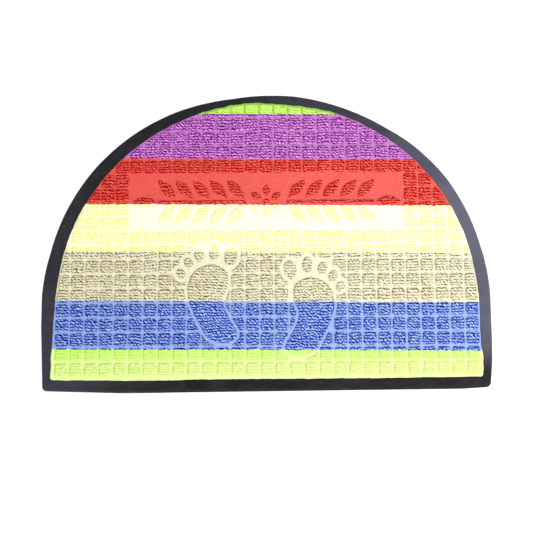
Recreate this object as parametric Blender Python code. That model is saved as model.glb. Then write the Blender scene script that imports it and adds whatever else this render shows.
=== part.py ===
"""Half-round doormat: a black rubber backing and a striped carpet face fused into it.

The backing is one moulding, with a bevelled border around a shallow recess. The face fills the recess.
It is one cut of needle-punched carpet, pressed into square blocks of pile between smooth channels.
A smooth panel with a raised garland of leaves crosses it, and a pair of bare footprints stands below.

Metres, +Z up. The mat lies flat on the XY plane, with its straight edge towards -Y and its centre at
the origin.
"""

import math

import bmesh
import bpy
import numpy as np
from mathutils import Vector
from mathutils.geometry import delaunay_2d_cdt

# Outline of the rubber. It is trimmed by hand, a little unevenly, so the arch and the sides stand out
# from a half ellipse on two straight sides. Columns: direction from the middle of the springs, in
# degrees from +X; how far the outline stands out there.
MAT_WIDTH = 0.600
MAT_DEPTH = 0.404
SIDE_LENGTH = 0.123             # from the straight edge up to the spring of the arch
RUBBER_CORNERS = (0.006, 0.006)     # radius at the left and at the right
RUBBER_TRIM = (
    (-22.0, -0.0040),
    (-20.0, -0.0027),
    (-16.0, -0.0006),
    (-12.0, 0.0),
    (0.0, 0.0),
    (14.0, -0.0012),
    (22.0, -0.0001),
    (34.0, 0.0020),
    (47.0, 0.0016),
    (55.0, 0.0),
    (66.0, 0.0003),
    (82.0, 0.0011),
    (86.0, 0.0005),
    (88.0, 0.0001),
    (90.0, 0.0),
    (99.0, -0.0012),
    (115.0, 0.0014),
    (128.0, 0.0018),
    (142.0, 0.0009),
    (152.0, -0.0005),
    (167.0, -0.0023),
    (179.0, 0.0),
    (187.0, 0.0),
    (194.0, -0.0016),
    (202.0, -0.0034),
)
# Columns: place along X from the middle; how far the straight edge stands out there
RUBBER_EDGE_TRIM = (
    (-0.300, -0.0033),
    (-0.255, -0.0018),
    (-0.195, 0.0),
    (-0.150, 0.0),
    (-0.105, -0.0005),
    (0.105, -0.0019),
    (0.262, -0.0028),
    (0.300, -0.0050),
)

# Outline of the carpet, which lies a little to the right and leaves a border narrowest at the top
CARPET_SHIFT = 0.0012
CARPET_HALF_WIDTH = 0.2835
CARPET_EDGE_GAP = 0.0155        # from the mat's straight edge to the carpet's
CARPET_TOP_GAP = 0.0110         # from the mat's apex to the carpet's
CARPET_SIDE_LENGTH = 0.0985
CARPET_CORNERS = (0.0025, 0.0025)
CARPET_TRIM = (
    (-20.0, -0.0010),
    (-18.0, 0.0015),
    (-16.5, 0.0029),
    (-13.5, 0.0028),
    (-10.5, 0.0008),
    (-7.0, -0.0001),
    (0.0, 0.0),
    (9.0, -0.0008),
    (18.0, 0.0002),
    (44.0, 0.0019),
    (58.0, 0.0015),
    (72.0, 0.0008),
    (78.0, -0.0007),
    (84.0, -0.0017),
    (90.0, -0.0008),
    (94.0, 0.0008),
    (106.0, 0.0004),
    (114.0, 0.0),
    (142.0, -0.0004),
    (154.0, -0.0001),
    (169.0, -0.0013),
    (180.0, 0.0),
    (184.0, 0.0015),
    (190.5, 0.0024),
    (193.0, 0.0038),
    (198.0, 0.0039),
    (200.0, 0.0020),
)
CARPET_EDGE_TRIM = (
    (-0.285, -0.0014),
    (-0.240, -0.0007),
    (-0.140, 0.0),
    (-0.100, -0.0010),
    (-0.060, -0.0013),
    (0.080, -0.0014),
    (0.190, -0.0017),
    (0.230, -0.0023),
    (0.285, -0.0029),
)

# Heights above the floor
EDGE_HEIGHT = 0.0010            # upright outer rim of the rubber
BORDER_HEIGHT = 0.0032
RECESS_FLOOR = 0.0015
FUSE_GAP = 0.0003               # left between the carpet and the rubber that it is fused to
CHANNEL_HEIGHT = 0.0038
PILE_TOP = 0.0060

# Slopes and edges
# Rounded outer edge of the border. Columns: inwards from the outline, height.
BORDER_PROFILE = (
    (0.0, EDGE_HEIGHT),
    (0.0009, 0.0022),
    (0.0024, 0.0029),
    (0.0045, BORDER_HEIGHT),
)
RECESS_LIP = 0.0010
PILE_BEVEL = 0.0009

# Pressed pattern
BLOCK_PITCH = 0.0195
BLOCK_WIDTH = 0.0175
COLUMNS_EACH_SIDE = 14          # of the middle column
LOWEST_CHANNEL = 0.0214         # centre line of the channel nearest to the straight edge, from that edge
BLOCK_ROWS = 19
CARPET_MARGIN = 0.0018          # pressed strip along the carpet's cut edge
LEAST_BLOCK_SHARE = 0.10        # a block of which less is left is pressed flat

# Smooth panel, counted in blocks
PANEL_COLUMNS_EACH_SIDE = 9
PANEL_FIRST_ROW = 10
PANEL_ROWS = 4

# Footprints
SOLE_CHANNEL = 0.0036           # width of the channel around a sole
TOE_CHANNEL = 0.0050
RIGHT_HEEL = (0.0460, -0.1373)
LEFT_HEEL = (-0.0625, -0.1193)
# Columns: across, towards the little toe; along, towards the toes. Both from the heel's centre.
SOLE_KNOTS = (
    (-0.0040, -0.0180),
    (0.0150, -0.0125),
    (0.0265, 0.0050),
    (0.0375, 0.0270),
    (0.0440, 0.0510),
    (0.0370, 0.0750),
    (0.0140, 0.0875),
    (-0.0080, 0.0780),
    (-0.0100, 0.0580),
    (-0.0035, 0.0375),
    (-0.0105, 0.0180),
    (-0.0215, -0.0020),
    (-0.0190, -0.0130),
)
# Columns: across, along, half length, half width, lean towards the little toe in degrees
TOES = (
    (-0.0145, 0.0975, 0.0130, 0.0086, -12.0),
    (0.0080, 0.1040, 0.0110, 0.0068, 2.0),
    (0.0285, 0.0995, 0.0090, 0.0062, 12.0),
    (0.0425, 0.0890, 0.0078, 0.0060, 26.0),
    (0.0525, 0.0750, 0.0074, 0.0056, 38.0),
)

# Leaf garland on the panel
LEAF_LENGTH = 0.0340
LEAF_HALF_WIDTH = 0.0070
LEAF_SPREAD = math.radians(47)
LEAF_PITCH = 0.0232
LEAF_PAIRS = 5
FIRST_LEAF = 0.0300             # root of the first pair, from the middle of the panel
LEAF_ROOT = 0.0050              # root of a leaf, from the line of the stem
STEM_START = 0.0270
STEM_HALF_WIDTH = 0.0021
PETALS = 6
PETAL_START = 0.0072
PETAL_LENGTH = 0.0165
PETAL_HALF_WIDTH = 0.0050
BUTTON_RADIUS = 0.0043

# Fineness of the curves
ARCH_STEPS = 84
SIDE_STEPS = 8
CORNER_STEPS = 3
EDGE_STEPS = 14
SOLE_STEPS = 3
TOE_STEPS = 10
LEAF_STEPS = 5
BUTTON_STEPS = 8
MERGE_DISTANCE = 1e-5
TRIANGLES_INSIDE = 1            # the triangulation keeps only what lies inside an outline
SMOOTH_ANGLE = math.radians(25)

# Colours as linear red, green and blue
RUBBER_COLOUR = (0.024, 0.023, 0.026)
CARPET_COLOUR = (0.584, 0.485, 0.275)


def round_corner(half_width, edge, radius):
    """Rounded lower left corner of a half-round, from the side down to the straight edge."""
    turn = np.linspace(math.pi, 1.5 * math.pi, CORNER_STEPS + 1)
    reach = half_width - radius
    return np.stack([radius * np.cos(turn) - reach, radius * np.sin(turn) + edge + radius], axis=1)


def half_round(half_width, edge, spring, apex, corners):
    """Outline of a half-round: an elliptic arch on two short sides, anticlockwise from the right spring."""
    around = np.linspace(0.0, math.pi, ARCH_STEPS + 1)
    arch = np.stack([half_width * np.cos(around), spring + (apex - spring) * np.sin(around)], axis=1)
    left = round_corner(half_width, edge, corners[0])
    right = round_corner(half_width, edge, corners[1])[::-1] * (-1.0, 1.0)
    left_side = np.linspace(arch[-1], left[0], SIDE_STEPS + 1)[1:-1]
    bottom = np.linspace(left[-1], right[0], EDGE_STEPS + 1)[1:-1]
    right_side = np.linspace(right[-1], arch[0], SIDE_STEPS + 1)[1:-1]
    return np.concatenate([arch, left_side, left, bottom, right, right_side])


def trimmed(outline, half_width, edge, spring, trim, edge_trim):
    """Move the points of a half-round by its trims.

    Above the spring a point moves along its direction from the middle of the springs. Below it, X is
    stretched by the trim's share of the half width, and the trim of the straight edge moves points
    down, in full at the edge and not at all at the spring.
    """
    x = outline[:, 0]
    up = outline[:, 1] - spring
    direction = (np.degrees(np.arctan2(up, x)) + 90.0) % 360.0 - 90.0
    out = np.interp(direction, [row[0] for row in trim], [row[1] for row in trim])
    drop = np.interp(x, [row[0] for row in edge_trim], [row[1] for row in edge_trim])
    drop = drop * np.clip(-up / (spring - edge), 0.0, 1.0)
    above = up > 0.0
    stretch = 1.0 + out / np.where(above, np.hypot(x, up), half_width)
    return np.stack([x * stretch, np.where(above, up * stretch, up - drop) + spring], axis=1)


def inset(outline, distance):
    """Move an anticlockwise outline inwards by a distance, or outwards by a negative one."""
    edges = np.roll(outline, -1, axis=0) - outline
    edges /= np.linalg.norm(edges, axis=1, keepdims=True)
    after = np.stack([-edges[:, 1], edges[:, 0]], axis=1)
    before = np.roll(after, 1, axis=0)
    mitre = (before + after) / (1.0 + np.sum(before * after, axis=1, keepdims=True))
    return outline + distance * mitre


def depth_inside(points, outline):
    """Distance of each point from an outline, positive inside it and negative outside."""
    depth = np.full(len(points), np.inf)
    inside = np.zeros(len(points), dtype=bool)
    for start, end in zip(outline, np.roll(outline, -1, axis=0)):
        side = end - start
        away = points - start
        share = np.clip(away @ side / (side @ side), 0.0, 1.0)
        depth = np.minimum(depth, np.linalg.norm(away - share[:, None] * side, axis=1))
        spans = (start[1] > points[:, 1]) != (end[1] > points[:, 1])
        rise = side[1] if side[1] else 1.0
        crossing = start[0] + (points[:, 1] - start[1]) * side[0] / rise
        inside ^= spans & (points[:, 0] < crossing)
    return np.where(inside, depth, -depth)


def smooth_loop(knots, steps):
    """Closed Catmull-Rom curve through a list of knots."""
    knots = np.asarray(knots)
    last, following, second = (np.roll(knots, shift, axis=0) for shift in (1, -1, -2))
    points = []
    for share in np.arange(steps) / steps:
        points.append(0.5 * (
            2.0 * knots
            + (following - last) * share
            + (2.0 * last - 5.0 * knots + 4.0 * following - second) * share ** 2
            + (3.0 * knots - last - 3.0 * following + second) * share ** 3
        ))
    return np.stack(points, axis=1).reshape(-1, 2)


def turned(points, angle):
    """Turn points anticlockwise about the origin."""
    cosine, sine = math.cos(angle), math.sin(angle)
    return points @ np.array([[cosine, sine], [-sine, cosine]])


def ellipse(half_width, half_length, steps):
    """Outline of an ellipse that is longest along Y."""
    around = np.arange(steps) * math.tau / steps
    return np.stack([half_width * np.cos(around), half_length * np.sin(around)], axis=1)


def leaf(length, half_width):
    """Outline of a pointed leaf that runs from the origin along +X."""
    share = np.linspace(0.0, 1.0, LEAF_STEPS)
    lower = np.stack([length * share, -half_width * np.sin(math.pi * share)], axis=1)
    upper = lower[-2:0:-1] * (1.0, -1.0)
    return np.concatenate([lower, upper])


def rectangle(left, right, bottom, top):
    """Outline of an upright rectangle."""
    return np.array([(left, bottom), (right, bottom), (right, top), (left, top)])


def footprint(heel, side):
    """Sole and toes of one bare foot, as outlines; side is 1 for the right foot and -1 for the left."""
    outlines = [smooth_loop(SOLE_KNOTS, SOLE_STEPS)]
    for across, along, half_length, half_width, lean in TOES:
        toe = turned(ellipse(half_width, half_length, TOE_STEPS), -math.radians(lean))
        outlines.append(toe + (across, along))
    if side < 0:
        outlines = [outline[::-1] * (-1.0, 1.0) for outline in outlines]
    return [outline + heel + (CARPET_SHIFT, 0.0) for outline in outlines]


def garland(middle):
    """Outlines of the leaf garland: a small flower, two stems and pairs of leaves, end to end."""
    stem_end = FIRST_LEAF + LEAF_PAIRS * LEAF_PITCH
    right_half = [
        rectangle(STEM_START, stem_end, -STEM_HALF_WIDTH, STEM_HALF_WIDTH),
        leaf(LEAF_LENGTH, LEAF_HALF_WIDTH) + (stem_end + STEM_HALF_WIDTH, 0.0),
    ]
    for pair in range(LEAF_PAIRS):
        root = FIRST_LEAF + pair * LEAF_PITCH
        upper = turned(leaf(LEAF_LENGTH, LEAF_HALF_WIDTH), LEAF_SPREAD) + (root, LEAF_ROOT)
        right_half.append(upper)
        right_half.append(upper[::-1] * (1.0, -1.0))
    outlines = right_half + [turned(outline, math.pi) for outline in right_half]
    petal = leaf(PETAL_LENGTH, PETAL_HALF_WIDTH) + (PETAL_START, 0.0)
    outlines += [turned(petal, math.tau * (number + 0.5) / PETALS) for number in range(PETALS)]
    outlines.append(ellipse(BUTTON_RADIUS, BUTTON_RADIUS, BUTTON_STEPS))
    return [outline + (CARPET_SHIFT, middle) for outline in outlines]


def block_centres():
    """Centres of all blocks of the grid but those under the smooth panel."""
    panel_rows = range(PANEL_FIRST_ROW, PANEL_FIRST_ROW + PANEL_ROWS)
    centres = []
    for row in range(BLOCK_ROWS):
        for column in range(-COLUMNS_EACH_SIDE, COLUMNS_EACH_SIDE + 1):
            if row in panel_rows and abs(column) <= PANEL_COLUMNS_EACH_SIDE:
                continue
            y = -MAT_DEPTH / 2 + LOWEST_CHANNEL + (row + 0.5) * BLOCK_PITCH
            centres.append((column * BLOCK_PITCH + CARPET_SHIFT, y))
    return np.array(centres)


def triangulated(outlines, edges=()):
    """Constrained Delaunay triangles inside some outlines and along some edges, given as point pairs.

    Returns the points, the triangles, and for each triangle the set of outlines that hold it.
    """
    points = []
    faces = []
    for outline in outlines:
        faces.append(list(range(len(points), len(points) + len(outline))))
        points += [Vector(point) for point in outline]
    pairs = []
    for start, end in edges:
        pairs.append((len(points), len(points) + 1))
        points += [Vector(start), Vector(end)]
    found = delaunay_2d_cdt(points, pairs, faces, TRIANGLES_INSIDE, MERGE_DISTANCE)
    corners, triangles, holders = found[0], found[2], found[5]
    return np.array([corner[:] for corner in corners]), triangles, [set(held) for held in holders]


def cut_blocks(centres, half_width, field, zones):
    """Cut the square blocks by the carpet's field and by the zones pressed around the footprints.

    Returns the border of what is left as point pairs, and the area that is left of each block.
    """
    square = rectangle(-half_width, half_width, -half_width, half_width)
    blocks = [square + centre for centre in centres]
    points, triangles, holders = triangulated([field] + zones + blocks)
    field_number = 0
    zone_numbers = set(range(1, 1 + len(zones)))
    first_block = 1 + len(zones)
    area_left = np.zeros(len(blocks))
    uses = {}
    for triangle, held in zip(triangles, holders):
        owners = [number - first_block for number in held if number >= first_block]
        if not owners or field_number not in held or held & zone_numbers:
            continue
        first, second, third = points[list(triangle)]
        one, other = second - first, third - first
        area_left[owners[0]] += 0.5 * abs(one[0] * other[1] - one[1] * other[0])
        for start, end in zip(triangle, triangle[1:] + triangle[:1]):
            key = (min(start, end), max(start, end))
            uses[key] = uses.get(key, 0) + 1
    border = [(points[start], points[end]) for (start, end), count in uses.items() if count == 1]
    return border, area_left


def relief_height(points, centres, field, zones, shapes):
    """Height of the carpet's top at each point.

    It rises from the channels to the pile's top over one bevel's width, measured inwards from the edge
    of each block, of the field, of the zones around the footprints and of each raised shape.
    """
    away = np.abs(points[:, None, :] - centres[None, :, :]).max(axis=2)
    depth = BLOCK_WIDTH / 2 - away.min(axis=1)
    depth = np.minimum(depth, depth_inside(points, field))
    for zone in zones:
        depth = np.minimum(depth, -depth_inside(points, zone))
    for shape in shapes:
        depth = np.maximum(depth, depth_inside(points, shape))
    share = np.clip(depth / PILE_BEVEL, 0.0, 1.0)
    snap = 2.0 * MERGE_DISTANCE / PILE_BEVEL
    share[share < snap] = 0.0
    share[share > 1.0 - snap] = 1.0
    return CHANNEL_HEIGHT + (PILE_TOP - CHANNEL_HEIGHT) * share


def material(name, colour, roughness):
    """Plain Principled material."""
    made = bpy.data.materials.new(name)
    made.use_nodes = True
    shader = made.node_tree.nodes["Principled BSDF"]
    shader.inputs["Base Color"].default_value = (*colour, 1.0)
    shader.inputs["Roughness"].default_value = roughness
    shader.inputs["Metallic"].default_value = 0.0
    return made


def add_object(name, builder, finish):
    """Turn a filled bmesh into an object with its own material."""
    bmesh.ops.recalc_face_normals(builder, faces=builder.faces[:])
    mesh = bpy.data.meshes.new(name)
    builder.to_mesh(mesh)
    builder.free()
    mesh.shade_smooth()
    mesh.set_sharp_from_angle(angle=SMOOTH_ANGLE)
    mesh.materials.append(finish)
    bpy.context.scene.collection.objects.link(bpy.data.objects.new(name, mesh))


def rubber_outline():
    """Outer outline of the rubber."""
    half_width = MAT_WIDTH / 2
    edge = -MAT_DEPTH / 2
    spring = edge + SIDE_LENGTH
    outline = half_round(half_width, edge, spring, MAT_DEPTH / 2, RUBBER_CORNERS)
    return trimmed(outline, half_width, edge, spring, RUBBER_TRIM, RUBBER_EDGE_TRIM)


def carpet_outline(margin=0.0):
    """Cut outline of the carpet, or a like one drawn in by a margin."""
    half_width = CARPET_HALF_WIDTH - margin
    edge = -MAT_DEPTH / 2 + CARPET_EDGE_GAP
    spring = edge + CARPET_SIDE_LENGTH
    edge += margin
    outline = half_round(half_width, edge, spring, MAT_DEPTH / 2 - CARPET_TOP_GAP - margin, CARPET_CORNERS)
    return trimmed(outline, half_width, edge, spring, CARPET_TRIM, CARPET_EDGE_TRIM) + (CARPET_SHIFT, 0.0)


def make_backing():
    """Rubber backing: rings of points from the floor up over the border and down into the recess."""
    outer = rubber_outline()
    recess = inset(carpet_outline(), -FUSE_GAP)
    rings = [(outer, 0.0)]
    rings += [(inset(outer, inwards), height) for inwards, height in BORDER_PROFILE]
    rings += [
        (inset(recess, -RECESS_LIP), BORDER_HEIGHT),
        (recess, BORDER_HEIGHT - RECESS_LIP / 2),
        (recess, RECESS_FLOOR),
    ]
    builder = bmesh.new()
    loops = [[builder.verts.new((x, y, height)) for x, y in outline] for outline, height in rings]
    for lower, upper in zip(loops, loops[1:]):
        for number in range(len(lower)):
            before = number - 1
            builder.faces.new((lower[before], lower[number], upper[number], upper[before]))
    builder.faces.new(loops[0][::-1])
    builder.faces.new(loops[-1])
    add_object("backing", builder, material("black rubber", RUBBER_COLOUR, 0.6))


def make_pile():
    """Carpet face: triangles between the lines of the pressed pattern, each point at its relief height."""
    carpet = carpet_outline()
    field = carpet_outline(CARPET_MARGIN)
    panel_middle = LOWEST_CHANNEL + (PANEL_FIRST_ROW + PANEL_ROWS / 2) * BLOCK_PITCH - MAT_DEPTH / 2
    shapes = garland(panel_middle)
    zones = []
    for sole, *toes in (footprint(RIGHT_HEEL, 1), footprint(LEFT_HEEL, -1)):
        shapes += [sole, *toes]
        zones.append(inset(sole, -SOLE_CHANNEL))
        zones += [inset(toe, -TOE_CHANNEL) for toe in toes]

    centres = block_centres()
    area_left = cut_blocks(centres, BLOCK_WIDTH / 2, field, zones)[1]
    centres = centres[area_left > LEAST_BLOCK_SHARE * BLOCK_WIDTH ** 2]
    foot_edges = cut_blocks(centres, BLOCK_WIDTH / 2, field, zones)[0]
    top_field = inset(field, PILE_BEVEL)
    top_zones = [inset(zone, -PILE_BEVEL) for zone in zones]
    top_edges = cut_blocks(centres, BLOCK_WIDTH / 2 - PILE_BEVEL, top_field, top_zones)[0]
    shape_lines = shapes + [inset(shape, PILE_BEVEL) for shape in shapes]

    points, triangles, _ = triangulated([carpet] + shape_lines, foot_edges + top_edges)
    heights = relief_height(points, centres, field, zones, shapes)
    builder = bmesh.new()
    corners = [builder.verts.new((x, y, z)) for (x, y), z in zip(points, heights)]
    for triangle in triangles:
        builder.faces.new([corners[number] for number in triangle])
    rim = [edge for edge in builder.edges if edge.is_boundary]
    lowered = bmesh.ops.extrude_edge_only(builder, edges=rim)["geom"]
    for corner in lowered:
        if isinstance(corner, bmesh.types.BMVert):
            corner.co.z = RECESS_FLOOR + FUSE_GAP
    foot_loop = [edge for edge in lowered if isinstance(edge, bmesh.types.BMEdge) and edge.is_boundary]
    bmesh.ops.contextual_create(builder, geom=foot_loop)
    add_object("pile", builder, material("needle-punched carpet", CARPET_COLOUR, 0.95))


def main():
    """Build the mat in an empty scene."""
    for old in list(bpy.data.objects):
        bpy.data.objects.remove(old, do_unlink=True)
    make_backing()
    make_pile()


main()
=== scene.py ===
"""Half-round doormat, dressed: a moulded rubber backing and a pressed, ribbed carpet face.

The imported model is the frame. Its two plain solids are replaced by finer pieces of the same form:
a rubber backing swept along the mat's outline, and a carpet face worked out as a height over a grid.
The carpet is one cut. It is made in bands that meet in pressed channels, so that no piece is too fine.

Metres, +Z up, straight edge towards -Y, centre of the underside at the origin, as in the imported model.
"""

import logging
import math
from collections.abc import Iterator
from dataclasses import dataclass, field
from enum import Enum

import bpy
import numpy as np
from mathutils import Matrix, Vector


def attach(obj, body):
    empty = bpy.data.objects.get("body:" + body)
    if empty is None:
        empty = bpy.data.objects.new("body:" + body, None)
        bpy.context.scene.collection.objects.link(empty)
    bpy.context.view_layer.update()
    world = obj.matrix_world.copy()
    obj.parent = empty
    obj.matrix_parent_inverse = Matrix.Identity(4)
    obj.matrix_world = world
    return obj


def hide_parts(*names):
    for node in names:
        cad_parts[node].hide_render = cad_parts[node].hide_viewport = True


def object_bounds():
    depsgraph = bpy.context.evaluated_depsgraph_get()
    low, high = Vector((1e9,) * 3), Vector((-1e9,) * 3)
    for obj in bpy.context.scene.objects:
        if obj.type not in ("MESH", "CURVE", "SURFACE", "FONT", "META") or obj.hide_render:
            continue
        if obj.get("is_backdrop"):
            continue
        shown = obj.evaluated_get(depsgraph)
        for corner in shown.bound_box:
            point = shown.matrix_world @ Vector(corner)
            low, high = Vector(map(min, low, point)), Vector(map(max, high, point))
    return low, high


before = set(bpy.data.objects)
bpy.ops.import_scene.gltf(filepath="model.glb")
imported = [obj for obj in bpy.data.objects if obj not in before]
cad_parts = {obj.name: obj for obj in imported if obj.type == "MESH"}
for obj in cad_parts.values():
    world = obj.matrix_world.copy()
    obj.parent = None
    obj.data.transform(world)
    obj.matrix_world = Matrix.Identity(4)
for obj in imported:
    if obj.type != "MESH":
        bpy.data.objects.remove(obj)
CAD_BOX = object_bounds()

LOG = logging.getLogger("doormat")

BAKE_MAP = "OFBake"         # name of the UV map that the pieces' faces are laid out on
PHOTO_SIDE = 533            # pixels along each side of the picture
SENSOR_WIDTH = 36.0         # millimetres
NOISE_CELLS = 512           # side of a table of random numbers, after which the noise repeats
NOISE_NODE_RANGE = (0.3, 0.7)   # nearly all values of a noise node lie between these
PAIRS_AT_ONCE = 3_000_000   # of a point and an outline's side, held in memory together
OFF_GRID = -1.0             # depth where there is no block
TINY = 1e-6                 # keeps a division from failing at the middle of a shape

Table = tuple[tuple[float, ...], ...]


# Small tools


def linear(hex_colour: str) -> tuple[float, ...]:
    """Turn an sRGB hex colour into linear light.

    Each channel c becomes c / 12.92 below 0.04045 and ((c + 0.055) / 1.055) to the power 2.4 above.

    Args:
        hex_colour: Six hex digits after a hash sign.

    Returns:
        Red, green and blue in linear light, and an alpha of 1.
    """
    channels = np.array([int(hex_colour[start:start + 2], 16) for start in (1, 3, 5)]) / 255.0
    light = np.where(channels <= 0.04045, channels / 12.92, ((channels + 0.055) / 1.055) ** 2.4)
    return (*light.tolist(), 1.0)


def set_inputs(tree: bpy.types.NodeTree, node: bpy.types.Node, inputs: dict | tuple) -> None:
    """Give a node its input values and its links.

    Args:
        tree: Node tree that the node is in.
        node: The node.
        inputs: By an input's name or number, or as a tuple in the order of the inputs, a plain value,
            a socket to link from, or a node to link from its first output.
    """
    for key, value in inputs.items() if isinstance(inputs, dict) else enumerate(inputs):
        source = value.outputs[0] if isinstance(value, bpy.types.Node) else value
        if isinstance(source, bpy.types.NodeSocket):
            tree.links.new(source, node.inputs[key])
        else:
            node.inputs[key].default_value = source


def add_node(
    tree: bpy.types.NodeTree, kind: str, inputs: dict | tuple = (), **settings: object
) -> bpy.types.Node:
    """Add a shader node to a tree, with its settings, its input values and its links.

    Args:
        tree: Node tree that gets the node.
        kind: Blender's name of the node's class, after its ShaderNode.
        inputs: As set_inputs takes them.
        settings: Values of the node's own properties.

    Returns:
        The new node.
    """
    node = tree.nodes.new("ShaderNode" + kind)
    for name, value in settings.items():
        setattr(node, name, value)
    set_inputs(tree, node, inputs)
    return node


def new_material(name: str) -> tuple[bpy.types.Material, bpy.types.NodeTree, bpy.types.Node]:
    """Make a material.

    Args:
        name: Its name.

    Returns:
        The material, its node tree and its shader.
    """
    made = bpy.data.materials.new(name)
    made.use_nodes = True
    return made, made.node_tree, made.node_tree.nodes["Principled BSDF"]


def smooth_step(share: np.ndarray) -> np.ndarray:
    """Ease a share from 0 to 1: 3 s squared minus 2 s cubed, with s held between 0 and 1."""
    held = np.clip(share, 0.0, 1.0)
    return held * held * (3.0 - 2.0 * held)


@dataclass(frozen=True)
class SoftNoise:
    """Seeded value noise, from -1 to 1.

    Attributes:
        cell_x: Width of a cell of the noise, in metres.
        cell_y: Height of a cell, in metres.
        seed: Seed of the table of random numbers.
    """

    cell_x: float
    cell_y: float
    seed: int

    def at(self, x: np.ndarray, y: np.ndarray) -> np.ndarray:
        """Work out the noise at some places.

        Random numbers stand at the corners of square cells. Within a cell they are blended across
        and then along, each by the smooth step of the place's share of the cell.

        Args:
            x: Places along X, of any shape.
            y: Places along Y, of the same shape.

        Returns:
            The noise, of the same shape.
        """
        table = np.random.default_rng(self.seed).uniform(-1.0, 1.0, (NOISE_CELLS, NOISE_CELLS))
        across, along = x / self.cell_x, y / self.cell_y
        column, row = np.floor(across).astype(int), np.floor(along).astype(int)
        share_x, share_y = smooth_step(across - column), smooth_step(along - row)
        here, right = column % NOISE_CELLS, (column + 1) % NOISE_CELLS
        low, high = row % NOISE_CELLS, (row + 1) % NOISE_CELLS
        lower = table[low, here] * (1.0 - share_x) + table[low, right] * share_x
        upper = table[high, here] * (1.0 - share_x) + table[high, right] * share_x
        return lower * (1.0 - share_y) + upper * share_y


Noises = tuple[tuple[SoftNoise, float], ...]


def add_piece(
    name: str, points: np.ndarray, corners: np.ndarray, sides: np.ndarray, uv: np.ndarray, sharp: float
) -> bpy.types.Object:
    """Make a mesh object from arrays.

    Args:
        name: Name of the piece.
        points: Its points, one row each.
        corners: Numbers of the points at the corners of its faces, face after face.
        sides: How many corners each face has.
        uv: Place of each corner on the bake map.
        sharp: Angle between two faces past which their edge isn't shaded smooth.

    Returns:
        The object, linked to the scene.
    """
    mesh = bpy.data.meshes.new(name)
    mesh.vertices.add(len(points))
    mesh.vertices.foreach_set("co", points.astype(np.float32).ravel())
    mesh.loops.add(len(corners))
    mesh.loops.foreach_set("vertex_index", corners.astype(np.int32))
    mesh.polygons.add(len(sides))
    mesh.polygons.foreach_set("loop_start", (np.cumsum(sides) - sides).astype(np.int32))
    mesh.update(calc_edges=True)
    mesh.validate()
    mesh.uv_layers.new(name=BAKE_MAP).data.foreach_set("uv", uv.astype(np.float32).ravel())
    mesh.shade_smooth()
    mesh.set_sharp_from_angle(angle=sharp)
    piece = bpy.data.objects.new(name, mesh)
    bpy.context.scene.collection.objects.link(piece)
    return piece


def set_attribute(piece: bpy.types.Object, name: str, values: np.ndarray) -> None:
    """Give the points of a piece a number each, for its material to read."""
    layer = piece.data.attributes.new(name, "FLOAT", "POINT")
    layer.data.foreach_set("value", values.astype(np.float32))


# Outlines on the mat


def offset(outline: np.ndarray, inwards: float | np.ndarray) -> np.ndarray:
    """Move an anticlockwise outline inwards along its mitred normals.

    Args:
        outline: Points of the outline, one row each.
        inwards: Distance for all points, or one for each. A negative one moves outwards.

    Returns:
        The moved points.
    """
    edges = np.roll(outline, -1, axis=0) - outline
    edges /= np.linalg.norm(edges, axis=1, keepdims=True)
    after = np.stack([-edges[:, 1], edges[:, 0]], axis=1)
    before = np.roll(after, 1, axis=0)
    mitre = (before + after) / (1.0 + np.sum(before * after, axis=1, keepdims=True))
    return outline + np.reshape(inwards, (-1, 1)) * mitre


def depth_inside(points: np.ndarray, outline: np.ndarray) -> np.ndarray:
    """Measure how far points lie inside an outline.

    The distance is the least one to a side of the outline. It is positive where a ray towards +X
    crosses an odd number of sides, and negative elsewhere.

    Args:
        points: Points, one row each.
        outline: Corners of the outline, one row each.

    Returns:
        The distance for each point, in metres.
    """
    ends = np.roll(outline, -1, axis=0)
    side = ends - outline
    length = np.sum(side * side, axis=1)
    slant = side[:, 0] / np.where(side[:, 1] == 0.0, 1.0, side[:, 1])
    depths = []
    for some in np.array_split(points, 1 + len(points) * len(outline) // PAIRS_AT_ONCE):
        away = some[:, None, :] - outline
        share = np.clip(np.sum(away * side, axis=2) / length, 0.0, 1.0)
        gap = np.sqrt(np.sum((away - share[..., None] * side) ** 2, axis=2).min(axis=1))
        height = some[:, None, 1]
        spans = (outline[:, 1] > height) != (ends[:, 1] > height)
        right_of = some[:, None, 0] < outline[:, 0] + (height - outline[:, 1]) * slant
        inside = np.sum(spans & right_of, axis=1) % 2 == 1
        depths.append(np.where(inside, gap, -gap))
    return np.concatenate(depths)


def smooth_loop(knots: np.ndarray, steps: int) -> np.ndarray:
    """Run a closed curve through knots.

    It is the Catmull-Rom cubic: half of 2 b + (c - a) s + (2a - 5b + 4c - d) s squared
    + (3b - a - 3c + d) s cubed, from knot b to knot c, where a and d are the ones beside them.

    Args:
        knots: The knots in order, one row each.
        steps: Points for each knot.

    Returns:
        Points of the curve, one row each.
    """
    last, following, second = (np.roll(knots, shift, axis=0) for shift in (1, -1, -2))
    share = (np.arange(steps) / steps)[None, :, None]
    curve = (
        2.0 * knots[:, None]
        + (following - last)[:, None] * share
        + (2.0 * last - 5.0 * knots + 4.0 * following - second)[:, None] * share ** 2
        + (3.0 * knots - last - 3.0 * following + second)[:, None] * share ** 3
    )
    return 0.5 * curve.reshape(-1, 2)


def turned(points: np.ndarray, angle: float) -> np.ndarray:
    """Turn points anticlockwise about the origin, by an angle in radians."""
    cosine, sine = math.cos(angle), math.sin(angle)
    return points @ np.array([[cosine, sine], [-sine, cosine]])


def ellipse(half_width: float, half_length: float, steps: int) -> np.ndarray:
    """Outline of an upright ellipse: half width x cosine, half length x sine."""
    around = np.arange(steps) * math.tau / steps
    return np.stack([half_width * np.cos(around), half_length * np.sin(around)], axis=1)


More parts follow.
